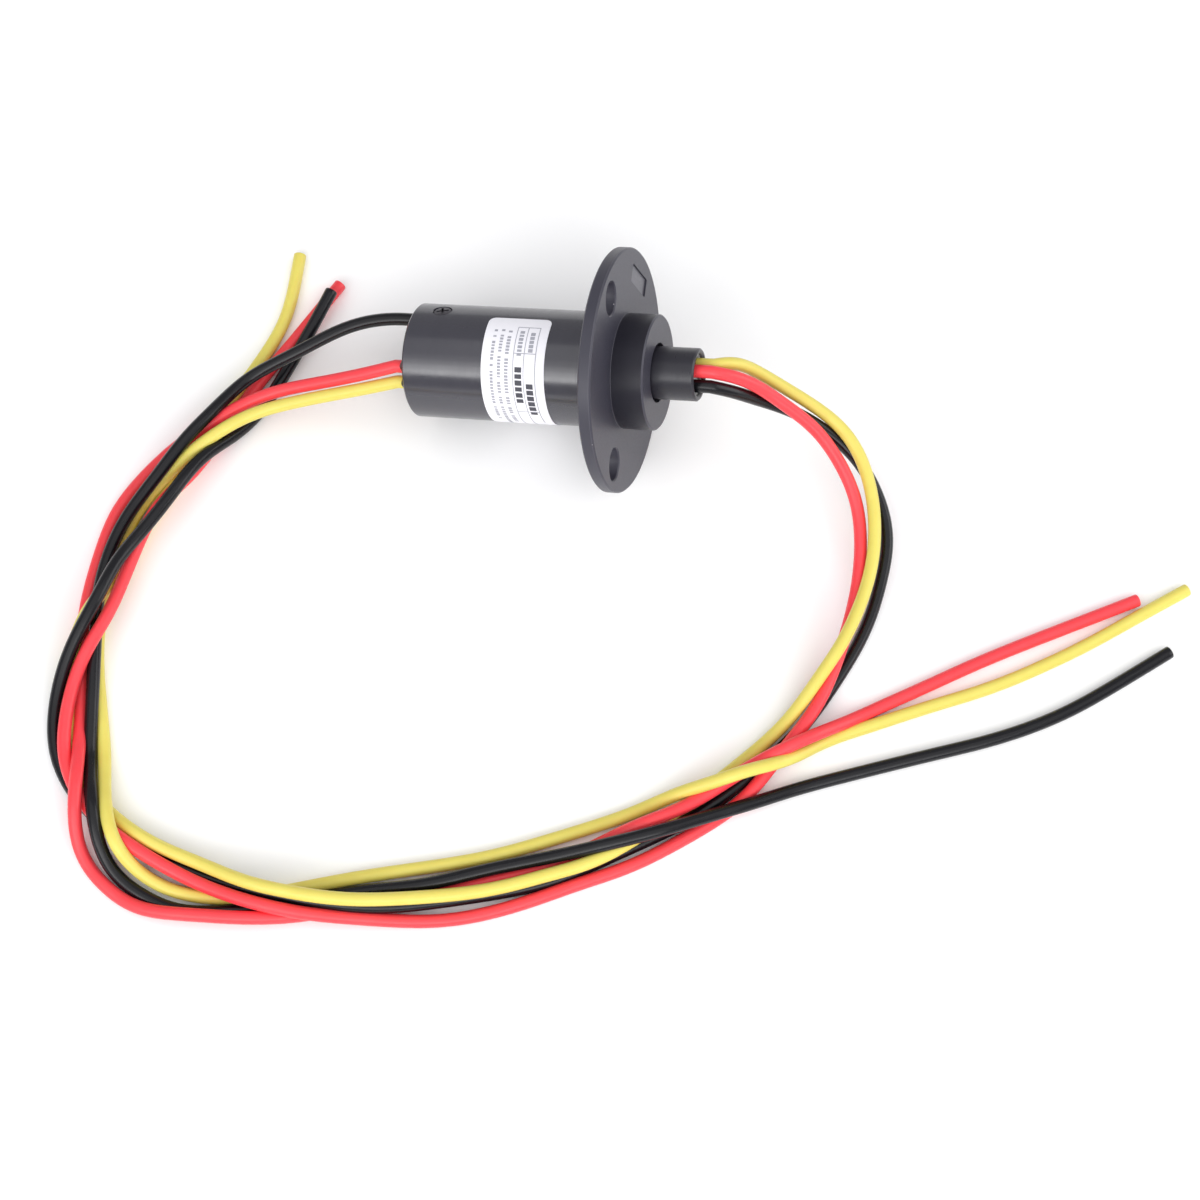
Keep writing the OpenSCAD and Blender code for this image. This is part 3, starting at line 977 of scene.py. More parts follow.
@dataclass
class Tree:
    """A geometry node tree with named inputs."""

    name: str
    inputs: dict[str, str]
    identifiers: dict[str, str] = field(default_factory=dict)

    def __post_init__(self) -> None:
        """Makes the tree, its interface and its group nodes."""
        self.tree = bpy.data.node_groups.new(self.name, "GeometryNodeTree")
        interface = self.tree.interface
        interface.new_socket("Geometry", in_out="INPUT", socket_type="NodeSocketGeometry")
        for name, kind in {**self.inputs, "Material": "NodeSocketMaterial"}.items():
            socket = interface.new_socket(name, in_out="INPUT", socket_type=kind)
            self.identifiers[name] = socket.identifier
        interface.new_socket("Geometry", in_out="OUTPUT", socket_type="NodeSocketGeometry")
        self.group = self.tree.nodes.new("NodeGroupInput")

    def add(self, kind: str, **parts: dict) -> bpy.types.Node:
        """Adds a node, as add_node does."""
        return add_node(self.tree, kind, **parts)

    def random(self, kind: str, feeds: dict[str, str]) -> bpy.types.NodeSocket:
        """Adds a random value, whose inputs come from the tree's own inputs.

        Args:
            kind: The type of the value.
            feeds: The tree's input by the name of the socket that it feeds.

        Returns:
            The value's socket.
        """
        node = self.add("FunctionNodeRandomValue", settings={"data_type": kind})
        for socket in node.inputs:
            if socket.enabled and socket.name in feeds:
                self.tree.links.new(self.group.outputs[feeds[socket.name]], socket)
        return next(socket for socket in node.outputs if socket.enabled)

    def finish(self, geometry: bpy.types.NodeSocket) -> None:
        """Ends the tree: real meshes, smooth faces and the material.

        Args:
            geometry: What the tree has made.
        """
        real = self.add("GeometryNodeRealizeInstances", links={"Geometry": geometry})
        soft = self.add("GeometryNodeSetShadeSmooth", links={"Geometry": real.outputs[0]})
        dressed = self.add(
            "GeometryNodeSetMaterial",
            links={"Geometry": soft.outputs[0], "Material": self.group.outputs["Material"]},
        )
        self.add("NodeGroupOutput", links={0: dressed.outputs[0]})

    def run(self, obj: bpy.types.Object, finish: Finish, **values: float) -> bpy.types.Object:
        """Runs the tree on an object and leaves a plain mesh.

        Args:
            obj: The object whose mesh goes in.
            finish: The finish of what comes out.
            values: The tree's inputs by name, with _ for a space.

        Returns:
            The object with its new mesh.
        """
        modifier = obj.modifiers.new(self.name, "NODES")
        modifier.node_group = self.tree
        modifier[self.identifiers["Material"]] = finish.build()
        for name, value in values.items():
            modifier[self.identifiers[name.replace("_", " ")]] = value
        bpy.context.view_layer.update()
        return plain(obj)


def copies_round_axis() -> Tree:
    """Repeats the incoming mesh evenly round the shaft's axis.

    Returns:
        The tree, with the input Count.
    """
    made = Tree("copies_round_axis", {"Count": "NodeSocketInt"})
    source = made.group.outputs
    points = made.add("GeometryNodeMeshLine", links={"Count": source["Count"]})
    points.inputs["Offset"].default_value = (0.0, 0.0, 0.0)
    step = arithmetic(made.tree, "DIVIDE", {0: 2 * math.pi}, {1: source["Count"]})
    index = made.add("GeometryNodeInputIndex")
    angle = arithmetic(made.tree, "MULTIPLY", links={0: index.outputs[0], 1: step})
    turn = made.add("ShaderNodeCombineXYZ", links={2: angle})
    copies = made.add(
        "GeometryNodeInstanceOnPoints",
        links={
            "Points": points.outputs[0],
            "Instance": source["Geometry"],
            "Rotation": turn.outputs[0],
        },
    )
    made.finish(copies.outputs[0])
    return made


def strand_bundle(rings: int = 2) -> Tree:
    """Packs round strands in rings of six, twelve and so on about a middle strand.

    Args:
        rings: Rings about the middle strand.

    Returns:
        The tree, with inputs Strand radius, Length and Pitch.
    """
    kinds = {name: "NodeSocketFloat" for name in ("Strand radius", "Length", "Pitch")}
    made = Tree("strand_bundle", kinds)
    source = made.group.outputs
    strand = made.add(
        "GeometryNodeMeshCylinder",
        values={"Vertices": 12},
        links={"Radius": source["Strand radius"], "Depth": source["Length"]},
    )
    gathered = made.add("GeometryNodeJoinGeometry", links={0: strand.outputs["Mesh"]})
    for ring in range(1, rings + 1):
        reach = arithmetic(made.tree, "MULTIPLY", {1: float(ring)}, {0: source["Pitch"]})
        circle = made.add(
            "GeometryNodeMeshCircle",
            values={"Vertices": 6 * ring},
            links={"Radius": reach},
        )
        copies = made.add(
            "GeometryNodeInstanceOnPoints",
            links={"Points": circle.outputs[0], "Instance": strand.outputs["Mesh"]},
        )
        made.tree.links.new(copies.outputs[0], gathered.inputs[0])
    made.finish(gathered.outputs[0])
    return made


def print_row() -> Tree:
    """Lays a row of short bars along x, with gaps and lengths that vary.

    Returns:
        The tree, with inputs Count, Pitch, Height, Thickness, Shortest, Longest, Filled and Seed.
    """
    names = ("Pitch", "Height", "Thickness", "Shortest", "Longest", "Filled")
    kinds = {name: "NodeSocketFloat" for name in names}
    made = Tree("print_row", {"Count": "NodeSocketInt", "Seed": "NodeSocketInt", **kinds})
    source = made.group.outputs
    offset = made.add("ShaderNodeCombineXYZ", links={0: source["Pitch"]})
    points = made.add(
        "GeometryNodeMeshLine",
        links={"Count": source["Count"], "Offset": offset.outputs[0]},
    )
    share = made.random("FLOAT", {"Min": "Shortest", "Max": "Longest", "Seed": "Seed"})
    length = arithmetic(made.tree, "MULTIPLY", links={0: share, 1: source["Pitch"]})
    size = made.add(
        "ShaderNodeCombineXYZ",
        links={0: length, 1: source["Height"], 2: source["Thickness"]},
    )
    chosen = made.random("BOOLEAN", {"Probability": "Filled", "Seed": "Seed"})
    bar = made.add("GeometryNodeMeshCube", values={"Vertices X": 5})
    copies = made.add(
        "GeometryNodeInstanceOnPoints",
        links={
            "Points": points.outputs[0],
            "Selection": chosen,
            "Instance": bar.outputs[0],
            "Scale": size.outputs[0],
        },
    )
    made.finish(copies.outputs[0])
    return made


# ---------------------------------------------------------------- stator


LEAD_R = 1.2
BEARING_W = 4.0
# Where each stator lead comes out of the rear cap, in degrees from the underside
EXITS = {Colour.RED: 218.0, Colour.BLACK: 110.0, Colour.YELLOW: 242.0}


class PrintLine(NamedTuple):
    """A row of plain bars on the sticker: its start, its bars, and how their lengths vary."""

    along: float
    across: float
    count: int
    pitch: float
    height: float
    shortest: float
    longest: float
    filled: float = 1.0


class Rule(NamedTuple):
    """A thin line round the sticker."""

    width: float
    along: float
    start: float
    end: float


@dataclass
class Housing:
    """The tube that holds the brushes, with its sticker and its cap screws."""

    outer: float = 10.5
    inner: float = 9.2
    length: float = 37.5
    edge: float = 0.3
    screw_angle: float = 145.5
    screw_z: float = 5.5
    screw_head: float = 1.65
    screw_head_t: float = 0.7
    screw_shank: float = 0.8
    screw_tip: float = 5.6
    shank_hole: float = 1.1
    screw_seat: float = 0.85
    seat_gap: float = 0.1
    chamfer: float = 0.12
    slot: Point3 = (2.3, 0.42, 0.8)
    slot_turn: float = 20.0
    label_start: float = 155.0
    label_wrap: float = 190.0
    label_rear: float = 15.5
    label_w: float = 12.0
    label_t: float = 0.1
    label_corner: float = 1.3
    label_gap: float = 0.005
    print_t: float = 0.02

    def build(self) -> None:
        """Builds and dresses each piece."""
        self.tube()
        self.screws()
        self.label()
        self.printing()

    def tube(self) -> None:
        """The turned tube, with two countersunk seats for the screws."""
        outline = rounded(
            [
                (self.inner, 0.0),
                (self.outer - self.edge, 0.0),
                (self.outer, self.edge),
                (self.outer, self.length),
                (self.inner, self.length),
            ],
            0.12,
        )
        tube = turned("housing_tube_skin", divided(outline, 2.0), 256)
        seat = self.outer - self.screw_seat
        clear, lip = self.screw_head + self.seat_gap, self.chamfer
        shape = [(self.shank_hole, self.inner - 1), (self.shank_hole, seat), (clear, seat)]
        shape += [(clear, self.outer - lip), (clear + 2 * lip, self.outer + lip)]
        tools = [
            radial(rod("seat", shape), self.screw_angle + turn, self.screw_z) for turn in (0, 180)
        ]
        cut(tube, tools)
        smoothed(tube)
        dress(to_rest(tube), HOUSING_BLACK, Body.STATOR, ["housing_tube"])

    def screws(self) -> None:
        """Two cross-recess screws, repeated round the housing."""
        seat = self.outer - self.screw_seat
        top = seat + self.screw_head_t
        shape = [(self.screw_shank, self.screw_tip), (self.screw_shank, seat)]
        shape += [(self.screw_head, seat), (self.screw_head, top - self.chamfer)]
        # The crown
        shape += [(self.screw_head - 0.14, top), (0.9, top + 0.06)]
        screw = rod("cap_screw_pair", shape)
        arms = []
        for turn in (0, 90):
            arm = block("arm", self.slot)
            spin = Matrix.Rotation(math.radians(turn + self.slot_turn), 4, "Z")
            arm.data.transform(Matrix.Translation((0, 0, top - 0.02)) @ spin)
            arms.append(arm)
        cut(screw, arms)
        smoothed(screw)
        radial(screw, self.screw_angle, self.screw_z)
        copies_round_axis().run(screw, SCREW_OXIDE, Count=2)
        dress(to_rest(screw), SCREW_OXIDE, Body.STATOR, ["cap_screws"])

    def wrapped(self, across: float, along: float, lift: float) -> Vector:
        """A place on the sticker, from its start corner.

        Args:
            across: Distance round the housing, in millimetres.
            along: Distance along the shaft.
            lift: Height above the housing.

        Returns:
            The place in the shaft's frame.
        """
        angle = math.radians(self.label_start) + across / self.outer
        radius = self.outer + lift
        return Vector((radius * math.cos(angle), radius * math.sin(angle), self.label_rear + along))

    def label(self) -> None:
        """The blank sticker, with rounded corners, wrapped round the housing."""
        width = math.radians(self.label_wrap) * self.outer
        rows, columns, corner = 40, 120, self.label_corner
        bm = bmesh.new()
        uv = bm.loops.layers.uv.new("UVMap")
        grid = []
        for j in range(rows + 1):
            # Rows crowd towards both edges, so that the corners are round
            along = self.label_w * (1 - math.cos(math.pi * j / rows)) / 2
            near = min(along, self.label_w - along)
            short = max(0.0, corner - near)
            inset = corner - math.sqrt(corner**2 - short**2)
            row = []
            for i in range(columns + 1):
                across = inset + (width - 2 * inset) * i / columns
                spot = self.wrapped(across, along, self.label_gap)
                row.append((bm.verts.new(spot), (across, along)))
            grid.append(row)
        for j in range(rows):
            for i in range(columns):
                ring = [grid[j][i], grid[j][i + 1], grid[j + 1][i + 1], grid[j + 1][i]]
                face = bm.faces.new([vert for vert, _ in ring])
                for loop, (_, mark) in zip(face.loops, ring):
                    loop[uv].uv = mark
        sticker = from_bmesh("label_sticker", bm)
        thick = sticker.modifiers.new("thickness", "SOLIDIFY")
        thick.thickness = self.label_t - self.label_gap
        thick.offset = 1.0
        plain(sticker)
        smoothed(sticker)
        dress(to_rest(sticker), LABEL_VINYL, Body.STATOR, ["label"])

    def printing(self) -> None:
        """Rules and rows of plain bars on the sticker, in a dark and a pale ink."""
        dark = [
            PrintLine(9.2, 12.8, 6, 1.2, 1.3, 0.66, 0.84),
            PrintLine(7.1, 9.8, 6, 1.2, 1.3, 0.66, 0.84),
        ]
        pale = [
            PrintLine(9.2, 3.3, 5, 0.8, 0.85, 0.6, 0.85),
            PrintLine(7.1, 3.0, 7, 0.72, 0.85, 0.55, 0.85, filled=0.85),
            PrintLine(4.8, 3.0, 34, 0.6, 0.7, 0.5, 0.8, filled=0.86),
            PrintLine(3.4, 2.8, 38, 0.58, 0.62, 0.5, 0.8, filled=0.86),
            PrintLine(2.0, 2.9, 32, 0.6, 0.58, 0.5, 0.8, filled=0.86),
        ]
        rules = [
            Rule(0.16, 10.3, 2.2, 23.0),
            Rule(0.14, 8.1, 2.2, 27.5),
            Rule(0.14, 6.1, 2.2, 27.5),
        ]
        self.ink("label_print_dark", PRINT_DARK, dark, [], [])
        self.ink("label_print_pale", PRINT_GREY, pale, rules, [2.2, 7.4, 19.0])

    def ink(
        self,
        name: str,
        finish: Finish,
        lines: Sequence[PrintLine],
        rules: Sequence[Rule],
        crossings: Sequence[float],
    ) -> None:
        """Prints rows of bars and long rules, and bends them round the housing.

        Args:
            name: The piece's name.
            finish: The ink.
            lines: The rows of bars.
            rules: The long rules.
            crossings: Where short bars join the last rule to the first.
        """
        row = print_row()
        bm = bmesh.new()
        for seed, line in enumerate(lines, start=3):
            carrier = new_object("row", bpy.data.meshes.new("row"))
            row.run(
                carrier,
                finish,
                Count=line.count,
                Seed=seed,
                Pitch=line.pitch,
                Height=line.height,
                Thickness=self.print_t,
                Shortest=line.shortest,
                Longest=line.longest,
                Filled=line.filled,
            )
            start = (line.across + line.pitch / 2, line.along, 0)
            carrier.data.transform(Matrix.Translation(start))
            bm.from_mesh(carrier.data)
            bpy.data.objects.remove(carrier)
        for rule in rules:
            edges = (rule.along - rule.width / 2, rule.along + rule.width / 2)
            strip(bm, (rule.start, rule.end), edges, self.print_t)
        for start in crossings:
            end = start + rules[-1].width
            strip(bm, (start, end), (rules[-1].along, rules[0].along), self.print_t)
        for vert in bm.verts:
            lift = self.label_t + self.print_t / 2 + vert.co.z
            vert.co = self.wrapped(vert.co.x, vert.co.y, lift)
        bmesh.ops.recalc_face_normals(bm, faces=bm.faces)
        piece = smoothed(from_bmesh(name, bm))
        dress(to_rest(piece), finish, Body.STATOR)


def strip(bm: bmesh.types.BMesh, across: Point2, along: Point2, thickness: float) -> None:
    """Adds a thin bar, divided along x so that it can bend.

    Args:
        bm: The mesh to add to.
        across: Its start and end along x.
        along: Its two edges along y.
        thickness: Its height, half above and half below z = 0.
    """
    longest = 0.4
    parts = max(1, math.ceil((across[1] - across[0]) / longest))
    rings = []
    for i in range(parts + 1):
        x = across[0] + (across[1] - across[0]) * i / parts
        corners = ((0, -1), (1, -1), (1, 1), (0, 1))
        rings.append([bm.verts.new((x, along[a], b * thickness / 2)) for a, b in corners])
    for first, second in zip(rings, rings[1:]):
        for k in range(4):
            bm.faces.new([first[k], first[k - 1], second[k - 1], second[k]])
    bm.faces.new(rings[0])
    bm.faces.new(rings[-1][::-1])


@dataclass
class Flange:
    """The mounting flange, its boss and the front bearing's seat, turned as one piece."""

    outer: float = 22.25
    rear: float = 37.5
    front: float = 39.9
    boss: float = 10.5
    boss_front: float = 45.9
    lip: float = 5.4
    lip_t: float = 1.5
    seat: float = 7.5
    spigot: float = 4.0
    edge: float = 0.3
    hole_r: float = 3.0
    hole_flare: float = 0.22
    hole_circle: float = 17.5
    hole_angle: float = 161.5
    hole_count: int = 3
    recess_at: float = 17.2
    recess: Point3 = (3.4, 9.6, 0.6)
    recess_corner: float = 0.35

    def build(self) -> None:
        """Builds and dresses the flange."""
        inner = Housing.inner
        lip_rear = self.boss_front - self.lip_t
        outline = [
            (self.seat, self.rear - self.spigot),
            (inner, self.rear - self.spigot),
            (inner, self.rear),
            (self.outer - self.edge, self.rear),
            (self.outer, self.rear + self.edge),
            (self.outer, self.front - self.edge),
            (self.outer - self.edge, self.front),
            (self.boss, self.front),
            (self.boss, self.boss_front - self.edge),
            (self.boss - self.edge, self.boss_front),
            (self.lip, self.boss_front),
            (self.lip, lip_rear),
            (self.seat, lip_rear),
        ]
        flange = turned("front_flange_skin", divided(rounded(outline, 0.12), 3.0), 256)
        flare = self.hole_flare
        shape = [
            (self.hole_r + 2 * flare, self.rear - flare),
            (self.hole_r, self.rear + flare),
            (self.hole_r, self.front - flare),
            (self.hole_r + 2 * flare, self.front + flare),
        ]
        tools = []
        for i in range(self.hole_count):
            place = polar(self.hole_circle, self.hole_angle + i * 360 / self.hole_count)
            tools.append(rod("hole", shape, place, 96))
        tools.append(self.recess_cutter())
        cut(flange, tools)
        smoothed(flange)
        flange.data.update()
        # The boss's side gets a darker colour that is partly painted shade
        seconds = [(PANEL_GREY, self.panel_faces(flange)), (BOSS_TURNED_AND_SHADE, self.boss_faces(flange))]
        dress(to_rest(flange), FLANGE_CHARCOAL, Body.STATOR, ["front_flange"])
        for slot, (finish, faces) in enumerate(seconds, start=1):
            flange.data.materials.append(finish.build())
            for index in faces:
                flange.data.polygons[index].material_index = slot

    def panel_faces(self, flange: bpy.types.Object) -> list[int]:
        """The faces at the bottom of the shallow panel.

        Args:
            flange: The cut flange, along the shaft.

        Returns:
            The faces' numbers.
        """
        floor = self.front - self.recess[2] / 2
        return [
            face.index
            for face in flange.data.polygons
            if abs(face.center.z - floor) < 0.02 and face.center.xy.length > self.boss
        ]

    def boss_faces(self, flange: bpy.types.Object) -> list[int]:
        """The faces of the boss's round side, which is turned smooth and painted darker, partly as
        painted shade.

        Args:
            flange: The cut flange, along the shaft.

        Returns:
            The faces' numbers.
        """
        return [
            face.index
            for face in flange.data.polygons
            if self.front + 0.1 < face.center.z < self.boss_front - self.edge
            and abs(face.center.xy.length - self.boss) < 0.05
        ]

    def recess_cutter(self) -> bpy.types.Object:
        """A cutter for the shallow bare panel, half of it sunk in the flange's front face.

        Returns:
            The cutter.
        """
        tool = block("recess", self.recess, self.recess_corner)
        turn = Matrix.Rotation(math.radians(self.hole_angle - 180 / self.hole_count), 4, "Z")
        tool.data.transform(turn @ Matrix.Translation((self.recess_at, 0, self.front)))
        return tool


@dataclass
class RearCap:
    """The cap that seats the rear bearing, with the beads where the leads come out."""

    rear: float = 0.5
    front: float = 8.5
    outer: float = 9.2
    exit_r: float = 7.4
    pocket_r: float = 4.5
    pocket_rear: float = 4.5
    relief_r: float = 3.2
    relief_rear: float = 2.0
    hole_gap: float = 0.02

    def build(self) -> None:
        """Builds and dresses the cap and its beads."""
        self.cap()
        self.beads()

    def cap(self) -> None:
        """The moulded cap, with its bearing pocket and its three lead holes."""
        outline = [
            (0.0, self.rear),
            (self.outer, self.rear),
            (self.outer, self.front),
            (self.pocket_r, self.front),
            (self.pocket_r, self.pocket_rear),
            (self.relief_r, self.pocket_rear),
            (self.relief_r, self.relief_rear),
            (0.0, self.relief_rear),
        ]
        arcs = rounded(outline[1:-1], 0.1, 3)
        cap = turned("rear_cap_body", divided([outline[0], *arcs, outline[-1]], 2.0), 160)
        lead_hole = LEAD_R + self.hole_gap
        hole = [(lead_hole, self.rear - 1), (lead_hole, self.front + 1)]
        tools = [rod("hole", hole, polar(self.exit_r, angle), 32) for angle in EXITS.values()]
        screw_hole = Housing.screw_shank + self.hole_gap
        bore = [(screw_hole, Housing.screw_tip), (screw_hole, self.outer + 1)]
        for turn in (0, 180):
            pin = rod("bore", bore, segments=24)
            tools.append(radial(pin, Housing.screw_angle + turn, Housing.screw_z))
        cut(cap, tools)
        smoothed(cap)
        dress(to_rest(cap), CAP_NYLON, Body.STATOR, ["rear_cap"])

    def beads(self) -> None:
        """A bead of epoxy round each lead, with an uneven edge."""
        shaker = random.Random(11)
        reach, swell, droop = 0.6, 0.16, 0.22
        outline = [
            (LEAD_R - 0.02, self.rear),
            (LEAD_R + reach, self.rear),
            (LEAD_R + 0.55, 0.15),
            (LEAD_R + 0.42, -0.35),
            (LEAD_R + 0.2, -0.8),
            (LEAD_R - 0.02, -1.02),
        ]
        whole = bmesh.new()
        for angle in EXITS.values():
            bead = turned("bead", divided(rounded(outline, 0.15, 3), 0.25), 48)
            phases = [shaker.uniform(0, 2 * math.pi) for _ in range(3)]
            for vert in bead.data.vertices:
                here = math.atan2(vert.co.y, vert.co.x)
                out = max(0.0, math.hypot(vert.co.x, vert.co.y) - LEAD_R)
                wave = sum(math.sin((k + 2) * here + p) for k, p in enumerate(phases)) / 3
                grown = 1 + out / reach * swell * wave / LEAD_R
                vert.co.x *= grown
                vert.co.y *= grown
                if vert.co.z < 0:
                    vert.co.z *= 1 + droop * wave
            bead.data.transform(Matrix.Translation((*polar(self.exit_r, angle), 0)))
            whole.from_mesh(bead.data)
            bpy.data.objects.remove(bead)
        piece = smoothed(from_bmesh("exit_beads", whole), 60)
        dress(to_rest(piece), POTTING_EPOXY, Body.STATOR, ["exit_potting"])


# ---------------------------------------------------------------- rotor


@dataclass
class Rotor:
    """The hollow shaft, its clip, its inner leads and the potting in its mouth."""

    mouth: float = 53.6
    shaft_r: float = 4.8
    bore_r: float = 3.8
    bore_rear: float = 11.5
    core_r: float = 4.5
    core_rear: float = 9.3
    tail: float = 3.0
    journal_r: float = 2.0
    groove_r: float = 1.7
    groove: Point2 = (4.0, 4.5)
    shoulder_r: float = 2.7
    shoulder_rear: float = 8.5
    seat_r: float = 5.0
    collar: float = 1.4
    ring_t: float = 0.7
    edge: float = 0.3
    plug_depth: float = 0.8
    plug_len: float = 4.0
    plug_climb: float = 0.25
    stack_rear: float = 11.0
    ring_w: float = 4.4
    barrier_t: float = 1.6
    barrier_r: float = 5.9

    def ring_middle(self, i: int) -> float:
        """The middle of contact ring i along the shaft."""
        pitch = self.ring_w + self.barrier_t
        return self.stack_rear + self.barrier_t + i * pitch + self.ring_w / 2

    def leads(self) -> list[tuple[Colour, Point2]]:
        """Lists the rotor leads, from the one on the rear ring on.

        Returns:
            A colour and a place across the mouth for each lead.
        """
        return [
            (Colour.BLACK, (0.3, -2.1)),
            (Colour.RED, (-1.4, 0.0)),
            (Colour.YELLOW, (0.0, 2.1)),
        ]

    def build(self) -> None:
        """Builds and dresses each piece."""
        self.core()
        self.inner_leads()
        self.potting()
        dress_nodes(["retaining_clip"], BEARING_STEEL)
        dress_nodes(["rotor_conductors"], TINNED_COPPER)

    def core(self) -> None:
        """The turned shaft and core, with a wire hole under each ring."""
        stack_front = self.stack_rear + 3 * (self.ring_w + self.barrier_t) + self.barrier_t
        lip_rear = Flange.boss_front - Flange.lip_t
        bearing_rear = lip_rear - BEARING_W
        collar_r, collar_front = self.seat_r + self.ring_t, stack_front + self.collar
        groove_rear, groove_front = self.groove
        outline = [
            (0.0, self.tail),
            (self.journal_r, self.tail),
            (self.journal_r, groove_rear),
            (self.groove_r, groove_rear),
            (self.groove_r, groove_front),
            (self.journal_r, groove_front),
            (self.journal_r, self.shoulder_rear),
            (self.shoulder_r, self.shoulder_rear),
            (self.shoulder_r, self.core_rear),
            (self.core_r, self.core_rear),
            (self.core_r, stack_front),
            (self.barrier_r, stack_front),
            (self.barrier_r, collar_front),
            (collar_r, collar_front),
            (collar_r, bearing_rear),
            (self.seat_r, bearing_rear),
            (self.seat_r, lip_rear),
            (self.shaft_r, lip_rear),
            (self.shaft_r, self.mouth - self.edge),
            (self.shaft_r - self.edge, self.mouth),
            (self.bore_r + self.edge, self.mouth),
            (self.bore_r, self.mouth - self.edge),
            (self.bore_r, self.bore_rear),
            (0.0, self.bore_rear),
        ]
        arcs = rounded(outline[1:-1], 0.1, 3)
        core = turned("rotor_shaft", divided([outline[0], *arcs, outline[-1]], 2.0), 160)
        tools = []
        for i, (_, place) in enumerate(self.leads()):
            angle = math.degrees(math.atan2(place[1], place[0]))
            bore = [(0.5, 0.4), (0.5, self.core_r + 1)]
            tools.append(radial(rod("bore", bore, segments=24), angle, self.ring_middle(i)))
        cut(core, tools)
        smoothed(core)
        dress(to_rest(core), SHAFT_CHARCOAL, Body.ROTOR, ["rotor_core"])

    def inner_leads(self) -> None:
        """The stretch of each lead inside the shaft."""
        for i, (colour, place) in enumerate(self.leads()):
            rear = self.ring_middle(i) + 2
            outline = divided_line([(LEAD_R, rear), (LEAD_R, self.mouth)], 2.0)
            lead = rod(f"rotor_lead_{colour.value}_core", outline, place, 32)
            smoothed(lead)
            node = f"rotor_lead_{colour.value}_inner"
            dress(to_rest(lead), INSULATION[colour], Body.ROTOR, [node])

    def potting(self) -> None:
        """The plug of epoxy in the mouth, which climbs a little at the wall."""
        front = self.mouth - self.plug_depth
        rear = front - self.plug_len
        climb, across = self.plug_climb, 1.2
        outline = [(0.0, rear), (self.bore_r, rear), (self.bore_r, front + climb)]
        for k in range(1, 5):
            share = k / 4
            outline.append((self.bore_r - across * share, front + climb * (1 - share) ** 2))
        outline.append((0.0, front))
        plug = turned("mouth_potting_plug", divided(outline, 0.3), 96)
        bore_r = LEAD_R + 0.01
        bore = [(bore_r, rear - 1), (bore_r, front + 1)]
        cut(plug, [rod("bore", bore, place, 32) for _, place in self.leads()])
        smoothed(plug)
        dress(to_rest(plug), POTTING_EPOXY, Body.ROTOR, ["mouth_potting"])


def divided_line(points: Sequence[Point2], longest: float) -> list[Point2]:
    """Splits the long sides of an open outline.

    Args:
        points: The outline, in millimetres.
        longest: The longest side that may stay whole.

    Returns:
        The outline with more points.
    """
    made = divided([*points], longest)
    end = made.index(points[-1])
    return made[: end + 1]


# ---------------------------------------------------------------- bearings and contacts


@dataclass
class Bearing:
    """A deep-groove ball bearing: rings and cage from the frame, balls placed round the pitch."""

    name: str
    rear: float
    pitch_r: float
    count: int
    cage: Body
    ball_r: float = 0.75

    def build(self) -> None:
        """Dresses the rings and the cage and places the balls."""
        dress_nodes([f"{self.name}_outer_ring", f"{self.name}_inner_ring"], BEARING_STEEL)
        dress_nodes([f"{self.name}_cage"], CAGE_BRASS)
        bm = bmesh.new()
        bmesh.ops.create_icosphere(bm, subdivisions=4, radius=self.ball_r)
        ball = from_bmesh(f"{self.name}_ball_set", bm)
        ball.data.transform(Matrix.Translation((self.pitch_r, 0, self.rear + BEARING_W / 2)))
        copies_round_axis().run(ball, BALL_STEEL, Count=self.count)
        ball.data.shade_smooth()
        dress(to_rest(ball), BALL_STEEL, self.cage, [f"{self.name}_balls"])


@dataclass
class Contacts:
    """The rings, the barriers between them, and the brush blocks with their wires."""

    rings: int = 3

    def build(self) -> None:
        """Dresses each node."""
        dress_nodes([f"contact_ring_{i + 1}" for i in range(self.rings)], RING_GOLD)
        dress_nodes([f"barrier_{i + 1}" for i in range(self.rings + 1)], BARRIER_RESIN)
        dress_nodes(["brush_block_1", "brush_block_2"], BRUSH_LAMINATE)
        dress_nodes(["brush_wires_1", "brush_wires_2"], WIRE_GOLD)
        dress_nodes(["stator_conductors"], TINNED_COPPER)


# ---------------------------------------------------------------- leads


def level_step(before: float, after: float) -> float:
    """The step in height that keeps a curve between its neighbours' heights."""
    return 0.0 if before * after <= 0 else 2 * before * after / (before + after)


